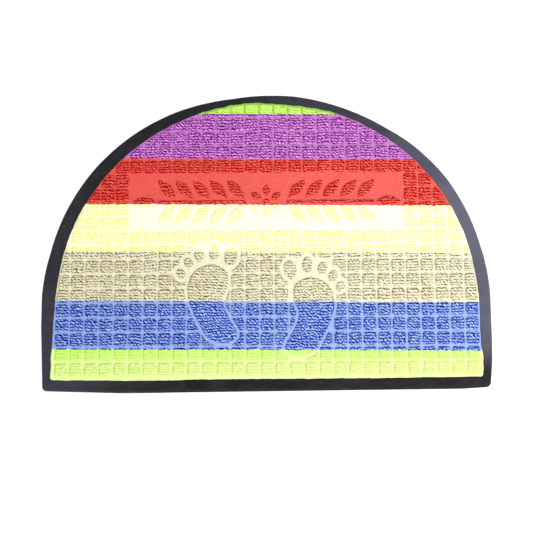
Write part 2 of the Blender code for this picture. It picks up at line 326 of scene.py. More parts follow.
def leaf(length: float, half_width: float, steps: int) -> np.ndarray:
    """Outline a pointed leaf along +X: length x share, half width x sine of half a turn x share.

    Args:
        length: Length of the leaf.
        half_width: Half its width.
        steps: Points along one of its sides.

    Returns:
        Points of the outline, one row each.
    """
    share = np.linspace(0.0, 1.0, steps)
    lower = np.stack([length * share, -half_width * np.sin(math.pi * share)], axis=1)
    return np.concatenate([lower, lower[-2:0:-1] * (1.0, -1.0)])


def rectangle(left: float, right: float, bottom: float, top: float) -> np.ndarray:
    """Outline of an upright rectangle, anticlockwise from its lower left corner."""
    return np.array([(left, bottom), (right, bottom), (right, top), (left, top)])


def direction(across: np.ndarray, up: np.ndarray) -> np.ndarray:
    """Direction of places from the origin, in degrees from +X, between -90 and 270."""
    return (np.degrees(np.arctan2(up, across)) + 90.0) % 360.0 - 90.0


@dataclass(frozen=True)
class HalfRound:
    """Half-round outline: an elliptic arch on two short sides, with rounded corners.

    It is trimmed by hand, so its arch, its sides and its straight edge stray a little from that.

    Attributes:
        half_width: From the middle to a side at the spring of the arch.
        edge: Y of the straight edge.
        spring: Y of the spring of the arch.
        apex: Y of the top of the arch.
        radius: Radius of the two corners.
        trim: Rows of a direction in degrees, from the middle of the springs, and how far the arch
            or a side stands out there.
        edge_trim: Rows of a place along X, from the middle, and how far the straight edge stands out.
        shift: X of the middle.
        steps: Sides along the arch, each straight side, each corner and the straight edge.
    """

    half_width: float
    edge: float
    spring: float
    apex: float
    radius: float
    trim: Table
    edge_trim: Table
    shift: float = 0.0
    steps: tuple[int, int, int, int] = (720, 60, 12, 360)

    def out(self, across: np.ndarray, up: np.ndarray) -> np.ndarray:
        """Trim in the direction of a place, read off between the rows of its table."""
        return np.interp(direction(across, up), *np.array(self.trim).T)

    def edge_out(self, across: np.ndarray) -> np.ndarray:
        """Trim of the straight edge at a place, read off between the rows of its table."""
        return np.interp(across, *np.array(self.edge_trim).T)

    def points(self) -> np.ndarray:
        """Walk the outline anticlockwise from the right spring.

        The arch is half width x cosine, spring + rise x sine, moved out along its direction by its
        trim. A corner is its centre + radius x (cosine, sine). Straight runs are evenly divided.
        Below the spring X is stretched by 1 + trim / half width, and the trim of the straight edge
        moves the points down, in full at the edge and not at all at the spring.

        Returns:
            Points of the outline, one row each.
        """
        arch_steps, side_steps, corner_steps, edge_steps = self.steps
        around = np.linspace(0.0, math.pi, arch_steps + 1)
        rise = self.apex - self.spring
        arch = np.stack([self.half_width * np.cos(around), self.spring + rise * np.sin(around)], axis=1)
        turn = np.linspace(math.pi, 1.5 * math.pi, corner_steps + 1)
        centre = (self.radius - self.half_width, self.edge + self.radius)
        left = self.radius * np.stack([np.cos(turn), np.sin(turn)], axis=1) + centre
        right = left[::-1] * (-1.0, 1.0)
        left_side = np.linspace(arch[-1], left[0], side_steps + 1)[1:-1]
        bottom = np.linspace(left[-1], right[0], edge_steps + 1)[1:-1]
        right_side = np.linspace(right[-1], arch[0], side_steps + 1)[1:-1]
        across, up = np.concatenate([arch, left_side, left, bottom, right, right_side]).T
        up = up - self.spring
        above = up > 0.0
        stretch = 1.0 + self.out(across, up) / np.where(above, np.hypot(across, up), self.half_width)
        drop = self.edge_out(across) * np.clip(-up / (self.spring - self.edge), 0.0, 1.0)
        height = np.where(above, up * stretch, up - drop) + self.spring
        return np.column_stack([across * stretch + self.shift, height])

    def depth(self, x: np.ndarray, y: np.ndarray) -> np.ndarray:
        """Measure how far places lie inside the outline, closely near it and roughly further in.

        Above the spring, size is the length of (X / half width, height / rise), and the depth is
        (1 - size + trim x size / length) over how fast size grows, which is the length of
        (X / half width squared, height / rise squared) over size. Below it the depth is the lesser
        of those to the side and to the edge, rounded off where both are under the corner's radius.

        Args:
            x: Places along X.
            y: Places along Y.

        Returns:
            The depth, negative outside.
        """
        across, up = x - self.shift, y - self.spring
        rise = self.apex - self.spring
        length = np.maximum(np.hypot(across, up), TINY)
        size = np.maximum(np.hypot(across / self.half_width, up / rise), TINY)
        growth = np.hypot(across / self.half_width ** 2, up / rise ** 2) / size
        out = self.out(across, up)
        arch = (1.0 - size + out * size / length) / np.maximum(growth, TINY)

        to_side = self.half_width - np.abs(across) / (1.0 + out / self.half_width)
        to_edge = y - self.edge + self.edge_out(across)
        rounded = self.radius - np.hypot(self.radius - to_side, self.radius - to_edge)
        in_corner = np.maximum(to_side, to_edge) < self.radius
        return np.where(up > 0.0, arch, np.where(in_corner, rounded, np.minimum(to_side, to_edge)))


RUBBER_EDGE = HalfRound(
    half_width=0.300,
    edge=-0.202,
    spring=-0.079,
    apex=0.202,
    radius=0.006,
    trim=(
        (-22.0, -0.0040), (-20.0, -0.0027), (-16.0, -0.0006), (-12.0, 0.0), (0.0, 0.0), (14.0, -0.0012),
        (22.0, -0.0001), (34.0, 0.0020), (47.0, 0.0016), (55.0, 0.0), (66.0, 0.0003), (82.0, 0.0011),
        (86.0, 0.0005), (88.0, 0.0001), (90.0, 0.0), (99.0, -0.0012), (115.0, 0.0014), (128.0, 0.0018),
        (142.0, 0.0009), (152.0, -0.0005), (167.0, -0.0023), (179.0, 0.0), (187.0, 0.0),
        (194.0, -0.0016), (202.0, -0.0034),
    ),
    edge_trim=(
        (-0.300, -0.0033), (-0.255, -0.0018), (-0.195, 0.0), (-0.150, 0.0), (-0.105, -0.0005),
        (0.105, -0.0019), (0.262, -0.0028), (0.300, -0.0050),
    ),
)
CARPET_CUT = HalfRound(
    half_width=0.2831,
    edge=-0.1859,
    spring=-0.088,
    apex=0.191,
    radius=0.0025,
    trim=(
        (-20.0, -0.0010), (-18.0, 0.0015), (-16.5, 0.0029), (-13.5, 0.0028), (-10.5, 0.0008),
        (-7.0, -0.0001), (0.0, 0.0), (9.0, -0.0008), (18.0, 0.0002), (44.0, 0.0019), (58.0, 0.0015),
        (72.0, 0.0008), (78.0, -0.0007), (84.0, -0.0017), (90.0, -0.0008), (94.0, 0.0008),
        (106.0, 0.0004), (114.0, 0.0), (142.0, -0.0004), (154.0, -0.0001), (169.0, -0.0013),
        (180.0, 0.0), (184.0, 0.0015), (190.5, 0.0024), (193.0, 0.0038), (198.0, 0.0039),
        (200.0, 0.0020),
    ),
    edge_trim=(
        (-0.285, -0.0014), (-0.240, -0.0007), (-0.140, 0.0), (-0.100, -0.0010), (-0.060, -0.0013),
        (0.080, -0.0014), (0.190, -0.0017), (0.230, -0.0023), (0.285, -0.0029),
    ),
    shift=0.0012,
)


@dataclass(frozen=True)
class MatLayout:
    """Sizes and outlines that the rubber and the carpet share.

    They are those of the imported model, but for the carpet's cut edge, which is up to 0.6 mm further in.

    Attributes:
        rubber: Outer edge of the rubber.
        carpet: Cut edge of the carpet, but for its small strays.
        edge_height: Top of the rubber's upright outer rim.
        border_height: Top of the rubber's border.
        recess_floor: Floor of the recess that holds the carpet.
        fuse_gap: Room kept between the carpet and the rubber that it is fused to.
        channel_height: Top of the pressed channels.
        pile_top: Top of the pile.
        block_pitch: From block to block.
        middle: X of the middle column of blocks.
        scallop: How far the carpet's cut edge is pushed out where a channel runs into it.
        scallop_powers: Powers that keep the scallops to the top of the arch, and to the channels.
        rag: How far the cut edge strays.
        rag_noises: Noises that it strays by, and the share of each.
        recess_passes: How many times the recess is moved closer to the cut edge.
    """

    rubber: HalfRound = RUBBER_EDGE
    carpet: HalfRound = CARPET_CUT
    edge_height: float = 0.0010
    border_height: float = 0.0032
    recess_floor: float = 0.0015
    fuse_gap: float = 0.0003
    channel_height: float = 0.0038
    pile_top: float = 0.0060
    block_pitch: float = 0.0195
    middle: float = 0.0012
    scallop: float = 0.0007
    scallop_powers: tuple[int, int] = (6, 2)
    rag: float = 0.0004
    rag_noises: Noises = ((SoftNoise(0.011, 0.011, 41), 1.0), (SoftNoise(0.004, 0.004, 42), 0.5))
    recess_passes: int = 5

    def carpet_depth(self, x: np.ndarray, y: np.ndarray) -> np.ndarray:
        """Measure how far places lie inside the carpet's cut edge as it is, a little ragged.

        It is the clean depth, plus the scallop x a cosine of the place along X that is largest at
        the channels, most at the top of the arch, plus noise of two sizes.

        Args:
            x: Places along X.
            y: Places along Y.

        Returns:
            The depth, negative outside.
        """
        shape = self.carpet
        top_power, channel_power = self.scallop_powers
        near_top = np.clip((y - shape.spring) / (shape.apex - shape.spring), 0.0, 1.0) ** top_power
        wave = 0.5 - 0.5 * np.cos(math.tau * (x - self.middle) / self.block_pitch)
        stray = sum(noise.at(x, y) * share for noise, share in self.rag_noises)
        return shape.depth(x, y) + self.scallop * near_top * wave ** channel_power + self.rag * stray

    def recess_outline(self) -> np.ndarray:
        """Trace the recess, half a fuse gap outside the carpet's cut edge.

        Each point of the clean cut moves out by the depth that it still has, a few times over.

        Returns:
            Points of the outline, one row each.
        """
        clean = self.carpet.points()
        out = np.zeros(len(clean))
        for _ in range(self.recess_passes):
            out += self.carpet_depth(*offset(clean, -out).T) + self.fuse_gap / 2.0
        return offset(clean, -out)


# Finishes


@dataclass(frozen=True)
class MouldedRubber:
    """Natural rubber with recycled crumb, hot-pressed in a steel mould.

    It gives a near-black satin face with faint paler crumbs, a cloudy bloom and a fine mould grain.

    Attributes:
        body: Colour of the rubber.
        bloom: Colour where wax has come to the surface.
        crumb: Colour of the crumbs.
        painted_sheen: Colour of the painted sheen, a lighter grey where the lamps' reflection falls on the
            border.
        bloom_size: Width of a cloud of bloom, in metres.
        crumb_size: Width of a crumb, drawn about twice as coarse as it is, so that it shows.
        grain_size: Width of the mould's grain.
        grain_height: Height of the grain.
        grain_strength: How strongly it shows.
        bloom_band: Cloud noise at which bloom starts, and at which it is full.
        crumb_band: The same for the crumbs and their own noise.
        crumb_share: Share of the crumbs' colour in them.
        sheen_mottle: Least and most that the clouds scale the painted sheen by.
        roughness: Of the satin face, least and most.
        ior: Of rubber.
        specular: Level of its clear reflections, low because the face is dusty.
    """

    body: str = "#151415"
    bloom: str = "#1D1C1E"
    crumb: str = "#322F33"
    painted_sheen: str = "#565564"
    bloom_size: float = 0.030
    crumb_size: float = 0.0022
    grain_size: float = 0.0006
    grain_height: float = 0.00006
    grain_strength: float = 0.6
    bloom_band: tuple[float, float] = (0.40, 0.70)
    crumb_band: tuple[float, float] = (0.56, 0.74)
    crumb_share: float = 0.6
    sheen_mottle: tuple[float, float] = (0.88, 1.12)
    roughness: tuple[float, float] = (0.41, 0.53)
    ior: float = 1.52
    specular: float = 0.10

    def material(self) -> bpy.types.Material:
        """Build the material: bloom, crumbs and painted sheen over the body colour, and the grain as bump.

        Returns:
            The material.
        """
        made, tree, shader = new_material("moulded crumb rubber")
        place = add_node(tree, "TexCoord").outputs["Object"]
        noises = ((self.bloom_size, 4.0, 0.6), (self.crumb_size, 2.0, 0.5), (self.grain_size, 2.0, 0.5))
        clouds, crumbs, grain = (
            add_node(
                tree, "TexNoise", {"Vector": place, "Scale": 1.0 / size, "Detail": fine, "Roughness": rough}
            )
            for size, fine, rough in noises
        )
        bloomed = add_node(tree, "MapRange", (clouds, *self.bloom_band), interpolation_type="SMOOTHSTEP")
        speckled = add_node(tree, "MapRange", (crumbs, *self.crumb_band, 0.0, self.crumb_share))
        cloudy = add_node(tree, "MapRange", (clouds, *NOISE_NODE_RANGE, *self.sheen_mottle))
        # painted sheen, read from the backing's points: a lighter grey where the lamps' reflection falls
        painted_sheen = add_node(tree, "Attribute", attribute_name="painted_sheen").outputs["Fac"]
        sheen_cover = add_node(tree, "Math", (painted_sheen, cloudy), operation="MULTIPLY")
        colour: tuple[float, ...] | bpy.types.NodeSocket = linear(self.body)
        for share, over in ((bloomed, self.bloom), (speckled, self.crumb), (sheen_cover, self.painted_sheen)):
            mixed = add_node(tree, "Mix", {0: share, 6: colour, 7: linear(over)}, data_type="RGBA")
            colour = mixed.outputs[2]
        worn = add_node(tree, "MapRange", (crumbs, *NOISE_NODE_RANGE, *self.roughness))
        relief = {"Height": grain, "Distance": self.grain_height, "Strength": self.grain_strength}
        bump = add_node(tree, "Bump", relief)
        set_inputs(tree, shader, {"Base Color": colour, "Roughness": worn, "Normal": bump})
        set_inputs(tree, shader, {"IOR": self.ior, "Specular IOR Level": self.specular})
        return made


@dataclass(frozen=True)
class Stripe:
    """One dyed stripe of the carpet.

    Attributes:
        lower_edge: Y of its lower edge on the mat's axis.
        pile: Colour of the standing pile.
        pressed: Colour of the smooth channels, where the fibres are melted flat: paler of their own, and
            paler still as painted sheen.
        groove: Painted shade deep between the ribs and at the foot of the pile.
        tip_highlight: Painted highlight on the tips of the ribs.
    """

    lower_edge: float
    pile: str
    pressed: str
    groove: str
    tip_highlight: str


class Dye(Enum):
    """The stripes from the straight edge to the top of the arch. The lowest has faded.

    The pile colours are the fibres' own. The groove colours are painted shade, the colours of the tips
    painted highlights, and the pressed colours partly painted sheen, but for the upper green's, which are
    painted shade.
    The studio's light makes them brighter in the picture.
    """

    FADED_GREEN = Stripe(-1.0, "#CCE184", "#DBEAA2", "#BDD971", "#DFE8AC")
    LOWER_GREEN = Stripe(-0.1605, "#BDE675", "#D7ECA2", "#B1DF5A", "#D3EA8B")
    BLUE = Stripe(-0.1465, "#3C5CC0", "#9DB2DE", "#06105F", "#ABC0DF")
    BEIGE = Stripe(-0.0820, "#CDC49B", "#DFDABF", "#685A30", "#DFDFD7")
    YELLOW = Stripe(-0.0159, "#F2F2A4", "#F7F7D8", "#EAEA78", "#F7F7E4")
    RED = Stripe(0.0489, "#C6221E", "#D75F57", "#7D0706", "#DD6A5E")
    PURPLE = Stripe(0.1122, "#9A3EA1", "#B97ABB", "#3A094A", "#DD9BDD")
    # upper green: its channel colour is darker than its pile, as painted shade in the channels
    UPPER_GREEN = Stripe(0.1749, "#B7E161", "#70B132", "#86C446", "#C9E77B")


@dataclass(frozen=True)
class NeedlePunchedPile:
    """Polypropylene carpet, needle-punched, ribbed, dyed in stripes and hot-pressed.

    Standing pile is matt and ribbed, with painted shade in its grooves and painted highlights on its tips.
    Where a hot die has melted it flat it is smoother, paler and less matt, and its pale colour is partly
    painted sheen.

    Attributes:
        turn: How much the stripes climb to the left, as a slope, on the mat's middle line.
        fan: How much that slope grows for each metre towards the top.
        ragged: How far a stripe's edge strays with the ribs, in metres.
        rag_size: Length of a stray: one rib.
        fibre_size: Width of a tuft of fibres. A fibre is 0.05 mm wide, too fine to show.
        fibre_height: Height of the tufts as bump.
        fibre_strength: How strongly that shows.
        fibre_mottle: Least and most that the tufts scale the colour by.
        patch_size: Width of a slightly paler or darker patch.
        patch_mottle: Least and most that the patches scale the colour by.
        strand: Length and width of a strand of fibres. They lie aslant over the ribs.
        strand_lean: Lean of the strands, down to the right, in degrees.
        strand_strength: How much a strand adds to the swell of a rib.
        melted_band: Strand noise at which a melted strand starts to show, and at which it does in full.
        melted_share: How much of the pile's colour such a strand keeps.
        groove_band: Swell at which the painted shade of the grooves is full, and at which it is gone.
        tip_highlight_band: Swell at which the painted highlight on the tips starts, and at which it is full.
        roughness: Of the melted channels and of the standing pile.
        specular: Level of its clear reflections.
        left_shade_gamma: Gamma of the colours at the left, darkened there as painted shade away from the lit
            right, and where they are as given.
        left_shade_places: X of the first, and X past which the second holds.
    """

    turn: float = 0.01085
    fan: float = 0.0106
    ragged: float = 0.0022
    rag_size: float = 0.0048
    fibre_size: float = 0.0008
    fibre_height: float = 0.00025
    fibre_strength: float = 0.7
    fibre_mottle: tuple[float, float] = (0.88, 1.10)
    patch_size: float = 0.006
    patch_mottle: tuple[float, float] = (0.94, 1.06)
    strand: tuple[float, float] = (0.0034, 0.0009)
    strand_lean: float = 42.0
    strand_strength: float = 2.6
    melted_band: tuple[float, float] = (0.35, 0.75)
    melted_share: float = 0.45
    groove_band: tuple[float, float] = (0.05, 0.62)
    tip_highlight_band: tuple[float, float] = (0.66, 1.20)
    roughness: tuple[float, float] = (0.62, 0.95)
    specular: float = 0.10
    left_shade_gamma: tuple[float, float] = (1.13, 1.0)
    left_shade_places: tuple[float, float] = (-0.28, 0.05)

    def stripe_share(self, tree: bpy.types.NodeTree, place: bpy.types.NodeSocket) -> bpy.types.Node:
        """Turn a place into the number of its stripe, as a share of all.

        The level is Y + X x (turn + fan x Y), strayed by noise. Half a step and one step for each
        stripe's lower edge that the level has passed, but the first's, give the share, so it lies
        in the middle of a stripe's part of a colour ramp.

        Args:
            tree: Tree of the material.
            place: Object coordinates.

        Returns:
            The node that gives the share.
        """
        step = 1.0 / len(Dye)
        across, along, _ = add_node(tree, "SeparateXYZ", (place,)).outputs
        slope = add_node(tree, "Math", (along, self.fan, self.turn), operation="MULTIPLY_ADD")
        level = add_node(tree, "Math", (across, slope, along), operation="MULTIPLY_ADD")
        noise_inputs = {"Vector": place, "Scale": 1.0 / self.rag_size, "Detail": 2.0, "Roughness": 0.6}
        noise = add_node(tree, "TexNoise", noise_inputs)
        strayed = add_node(tree, "Math", (noise, self.ragged * 2.0, level), operation="MULTIPLY_ADD")
        share: bpy.types.Node | float = step / 2.0
        for dye in list(Dye)[1:]:
            edge = dye.value.lower_edge + self.ragged
            passed = add_node(tree, "Math", (strayed, edge), operation="GREATER_THAN")
            share = add_node(tree, "Math", (passed, step, share), operation="MULTIPLY_ADD")
        return share

    def dyed(self, tree: bpy.types.NodeTree, share: bpy.types.Node, tone: str) -> bpy.types.Node:
        """Pick the stripes' colour of one tone, by steps.

        Args:
            tree: Tree of the material.
            share: Node that gives the share of the way up through the stripes.
            tone: The stripes' field to read: pile, pressed, groove or tip.

        Returns:
            The node that gives the colour.
        """
        ramp = add_node(tree, "ValToRGB", (share,))
        ramp.color_ramp.interpolation = "CONSTANT"
        steps = ramp.color_ramp.elements
        steps.remove(steps[1])
        for number, dye in enumerate(Dye):
            step = steps[0] if number == 0 else steps.new(number / len(Dye))
            step.color = linear(getattr(dye.value, tone))
        return ramp

    def material(self) -> bpy.types.Material:
        """Build the material from the carpet's own pile, swell and foot attributes; the foot is painted
        shade.

        Strands are noise drawn out along their lean. The swell of a rib + strength x (strand - 0.5)
        gives painted shade in the grooves where it is small and painted highlights on the tips where it is
        large, on standing pile only.

        Returns:
            The material.
        """
        made, tree, shader = new_material("needle-punched polypropylene carpet")
        place = add_node(tree, "TexCoord").outputs["Object"]
        share = self.stripe_share(tree, place)
        pile, swell, foot = (
            add_node(tree, "Attribute", attribute_name=name).outputs["Fac"]
            for name in ("pile", "swell", "foot")
        )
        lean = (0.0, 0.0, -math.radians(self.strand_lean))
        drawn_out = {"Vector": place, "Rotation": lean, "Scale": (*self.strand, self.strand[0])}
        slanted = add_node(tree, "Mapping", drawn_out, vector_type="TEXTURE")
        noises = (
            (slanted, 1.0, 1.0, 0.5),
            (place, self.fibre_size, 3.0, 0.65),
            (place, self.patch_size, 2.0, 0.6),
        )
        strands, tufts, patches = (
            add_node(
                tree, "TexNoise", {"Vector": where, "Scale": 1.0 / size, "Detail": fine, "Roughness": rough}
            )
            for where, size, fine, rough in noises
        )
        swollen = add_node(tree, "Math", (strands, self.strand_strength, swell), operation="MULTIPLY_ADD")
        in_pile = []
        for band, ends in ((self.groove_band, (1.0, 0.0)), (self.tip_highlight_band, (0.0, 1.0))):
            start, end = (swell_there + self.strand_strength / 2.0 for swell_there in band)
            marked = add_node(
                tree, "MapRange", (swollen, start, end, *ends), interpolation_type="SMOOTHSTEP"
            )
            in_pile.append(add_node(tree, "Math", (marked, pile), operation="MULTIPLY"))
        # painted shade: the groove colour in the grooves of the ribs and in the ring at the pile's foot
        grooves = add_node(tree, "Math", (in_pile[0], foot), operation="MAXIMUM")
        melted = add_node(tree, "MapRange", (strands, *self.melted_band, 0.0, self.melted_share))
        standing = add_node(tree, "Math", (pile, melted), operation="MAXIMUM")

        # the pressed colour below all: the melted fibres' own, partly painted sheen
        colour = self.dyed(tree, share, "pressed").outputs[0]
        # pile colour, then painted shade in the grooves, then painted highlights on the tips
        for cover, tone in ((standing, "pile"), (grooves, "groove"), (in_pile[1], "tip_highlight")):
            layers = {0: cover, 6: colour, 7: self.dyed(tree, share, tone)}
            colour = add_node(tree, "Mix", layers, data_type="RGBA").outputs[2]
        # painted shade: the colours grow darker and deeper towards the left, away from the lamps on the
        # right
        across = add_node(tree, "SeparateXYZ", (place,))
        left_shade_gamma = add_node(tree, "MapRange", (across, *self.left_shade_places, *self.left_shade_gamma))
        colour = add_node(tree, "Gamma", (colour, left_shade_gamma))
        for noise, ends in ((tufts, self.fibre_mottle), (patches, self.patch_mottle)):
            mottle = add_node(tree, "MapRange", (noise, *NOISE_NODE_RANGE, *ends))
            colour = add_node(tree, "VectorMath", {0: colour, "Scale": mottle}, operation="SCALE")
        rough = add_node(tree, "MapRange", (pile, 0.0, 1.0, *self.roughness))
        relief = {"Height": tufts, "Distance": self.fibre_height, "Strength": self.fibre_strength}
        bump = add_node(tree, "Bump", relief)
        set_inputs(tree, shader, {"Base Color": colour, "Roughness": rough, "Normal": bump})
        set_inputs(tree, shader, {"Specular IOR Level": self.specular})
        return made


# The rubber


@dataclass
class RubberBacking:
    """The moulded rubber: a border with a rounded outer edge around the recess that holds the carpet.

    Attributes:
        layout: Sizes shared with the carpet.
        finish: What it is made of.
        round_width: Width of the rounded outer edge.
        round_steps: Rings over the rounded outer edge.
        round_spread: Power that brings those rings closer together at the outside.
        roundness: Power that bends the edge.
        flat_steps: Rings over the flat of the border.
        lip: Width of the rounded inner edge.
        lip_drop: Height of that edge, as a share of its width.
        lip_steps: Rings over it.
        painted_sheen: Rows of a direction from the middle of the springs, in degrees, and the share of
            painted sheen there.
        streaks: Noises of the streaks along the border, in points and rings, and the share of each.
        streak_share: Most painted sheen colour that the streaks add, as paler streaks of random tone.
        sag_noise: Noise that sags the border's face.
        sag: How far it sags on average.
        sharp: Angle past which an edge isn't shaded smooth.
    """

    layout: MatLayout
    finish: MouldedRubber = field(default_factory=MouldedRubber)
    round_width: float = 0.0045
    round_steps: int = 9
    round_spread: float = 1.5
    roundness: float = 2.6
    flat_steps: int = 6
    lip: float = 0.0010
    lip_drop: float = 0.6
    lip_steps: int = 3
    # painted sheen: strongest on the right of the arch, where the lamps' reflection falls, faint on the left
    painted_sheen: Table = (
        (-24.0, 0.0), (-18.0, 0.04), (-13.0, 0.68), (-6.0, 0.88), (6.0, 0.84), (14.0, 1.0), (26.0, 1.1),
        (31.0, 1.0), (36.0, 0.72), (49.0, 0.62), (55.0, 0.32), (84.0, 0.22), (90.0, 0.10), (96.0, 0.02),
        (144.0, 0.04), (157.0, 0.13), (174.0, 0.12), (180.0, 0.21), (192.0, 0.29), (203.0, 0.28),
        (210.0, 0.07), (222.0, 0.0), (270.0, 0.0),
    )
    streaks: Noises = ((SoftNoise(9.0, 1.3, 52), 1.0), (SoftNoise(3.0, 0.9, 53), 0.6))
    streak_share: float = 0.07
    sag_noise: SoftNoise = SoftNoise(0.045, 0.045, 51)
    sag: float = 0.00012
    sharp: float = math.radians(50)

    def rings(self) -> np.ndarray:
        """Work out the rings of points from the floor over the border and down into the recess.

        Over the outer edge the height is rim + (border - rim) x (1 - (1 - share) to the power of
        the roundness), where share is the way in over the rounded edge. The flat runs evenly
        between the two outlines and sags by soft noise. The lip turns down by a quarter circle.

        Returns:
            Ring, point of the ring, and X, Y and Z.
        """
        layout = self.layout
        outer, recess = layout.rubber.points(), layout.recess_outline()
        rise = layout.border_height - layout.edge_height
        rings = [(outer, 0.0)]
        for share in np.linspace(0.0, 1.0, self.round_steps) ** self.round_spread:
            height = layout.edge_height + rise * (1.0 - (1.0 - share) ** self.roundness)
            rings.append((offset(outer, self.round_width * share), height))
        shoulder, brink = rings[-1][0], offset(recess, -self.lip)
        for share in np.linspace(0.0, 1.0, self.flat_steps + 1)[1:]:
            rings.append((shoulder + (brink - shoulder) * share, layout.border_height))
        for turn in np.linspace(0.0, math.pi / 2.0, self.lip_steps + 1)[1:]:
            height = layout.border_height - self.lip * self.lip_drop * (1.0 - math.cos(turn))
            rings.append((brink + (recess - brink) * math.sin(turn), height))
        rings.append((recess, layout.recess_floor))
        solid = np.array([np.column_stack([ring, np.full(len(ring), height)]) for ring, height in rings])
        flat = slice(self.round_steps, self.round_steps + self.flat_steps + 1)
        solid[flat, :, 2] -= self.sag * (1.0 + self.sag_noise.at(solid[flat, :, 0], solid[flat, :, 1]))
        return solid

    def build(self) -> bpy.types.Object:
        """Make the backing: quads between the rings, one face below and one for the recess floor.

        Returns:
            The piece.
        """
        rings = self.rings()
        levels, count, _ = rings.shape
        numbers = np.arange(levels * count).reshape(levels, count)
        low, high = numbers[:-1], numbers[1:]
        quads = np.stack([np.roll(low, 1, axis=1), low, high, np.roll(high, 1, axis=1)], axis=-1)
        corners = np.concatenate([quads.ravel(), numbers[0][::-1], numbers[-1]])
        sides = np.concatenate([np.full(quads.size // 4, 4), [count, count]])
        uv = self.bake_places(rings)
        piece = add_piece("rubber_backing", rings.reshape(-1, 3), corners, sides, uv, self.sharp)
        piece.data.materials.append(self.finish.material())
        # share of painted sheen at each point
        set_attribute(piece, "painted_sheen", self.painted_sheen_shares(rings).ravel())
        return piece

    def painted_sheen_shares(self, rings: np.ndarray) -> np.ndarray:
        """Work out the painted sheen: read off its table by direction, plus soft streaks along the border.

        Args:
            rings: Ring, point of the ring, and X, Y and Z.

        Returns:
            Share of painted sheen at each point, by ring.
        """
        levels, count, _ = rings.shape
        heading = direction(rings[..., 0], rings[..., 1] - self.layout.rubber.spring)
        along, across = np.meshgrid(np.arange(count), np.arange(levels))
        streaks = sum(noise.at(along, across) * share for noise, share in self.streaks)
        return np.interp(heading, *np.array(self.painted_sheen).T) + self.streak_share * np.clip(streaks, 0.0, 1.0)

    def bake_places(self, rings: np.ndarray) -> np.ndarray:
        """Lay the faces out on the bake map.

        The band between the rings is unrolled over the upper two thirds: the place along a ring
        across, the ring's number up. The two large faces stand side by side below, seen from above.

        Args:
            rings: Ring, point of the ring, and X, Y and Z.

        Returns:
            Place on the map for each corner of each face, in the order of the faces.
        """
        levels, count, _ = rings.shape
        band_foot, band_height, band_width = 0.36, 0.63, 0.995
        up = band_foot + band_height * np.arange(levels) / (levels - 1)
        along = band_width * np.arange(count + 1) / count
        row, column = (part.ravel()[:, None] for part in np.indices((levels - 1, count)))
        band = np.stack([along[column + (0, 1, 1, 0)], up[row + (0, 0, 1, 1)]], axis=-1).reshape(-1, 2)
        face_share, mat_span = 0.49, 0.62
        underside_middle, recess_middle = (0.5, 0.34), (1.54, 0.34)
        underside = (rings[0][::-1, :2] / mat_span + underside_middle) * face_share
        recess = (rings[-1][:, :2] / mat_span + recess_middle) * face_share
        return np.concatenate([band, underside, recess])


# The carpet


class Foot(Enum):
    """Which bare foot a print is of. The value is the side that its little toe is on, along X."""

    LEFT = -1
    RIGHT = 1


@dataclass(frozen=True)
class Footprint:
    """Print of a bare foot, as of a right one: from the heel's centre, across to the little toe and along.

    Attributes:
        sole_knots: Knots of the sole.
        toes: Across, along, half length, half width, and lean to the little toe in degrees.
        steps: Points for each knot of the sole, and around a toe.
    """

    sole_knots: Table = (
        (-0.0040, -0.0180), (0.0150, -0.0125), (0.0265, 0.0050), (0.0375, 0.0270), (0.0440, 0.0510),
        (0.0370, 0.0750), (0.0140, 0.0875), (-0.0080, 0.0780), (-0.0100, 0.0580), (-0.0035, 0.0375),
        (-0.0105, 0.0180), (-0.0215, -0.0020), (-0.0190, -0.0130),
    )
    toes: Table = (
        (-0.0145, 0.0975, 0.0130, 0.0086, -12.0),
        (0.0080, 0.1040, 0.0110, 0.0068, 2.0),
        (0.0285, 0.0995, 0.0090, 0.0062, 12.0),
        (0.0425, 0.0890, 0.0078, 0.0060, 26.0),
        (0.0525, 0.0750, 0.0074, 0.0056, 38.0),
    )
    steps: tuple[int, int] = (12, 40)

    def outlines(self, foot: Foot, heel: tuple[float, float]) -> list[np.ndarray]:
        """Outline the sole and then the toes of one bare foot.

        Args:
            foot: Which foot it is.
            heel: Centre of its heel.

        Returns:
            The outlines, each anticlockwise.
        """
        sole_steps, toe_steps = self.steps
        outlines = [smooth_loop(np.array(self.sole_knots), sole_steps)]
        for across, along, half_length, half_width, lean in self.toes:
            toe = turned(ellipse(half_width, half_length, toe_steps), -math.radians(lean))
            outlines.append(toe + (across, along))
        if foot is Foot.LEFT:
            outlines = [outline[::-1] * (-1.0, 1.0) for outline in outlines]
        return [outline + heel for outline in outlines]


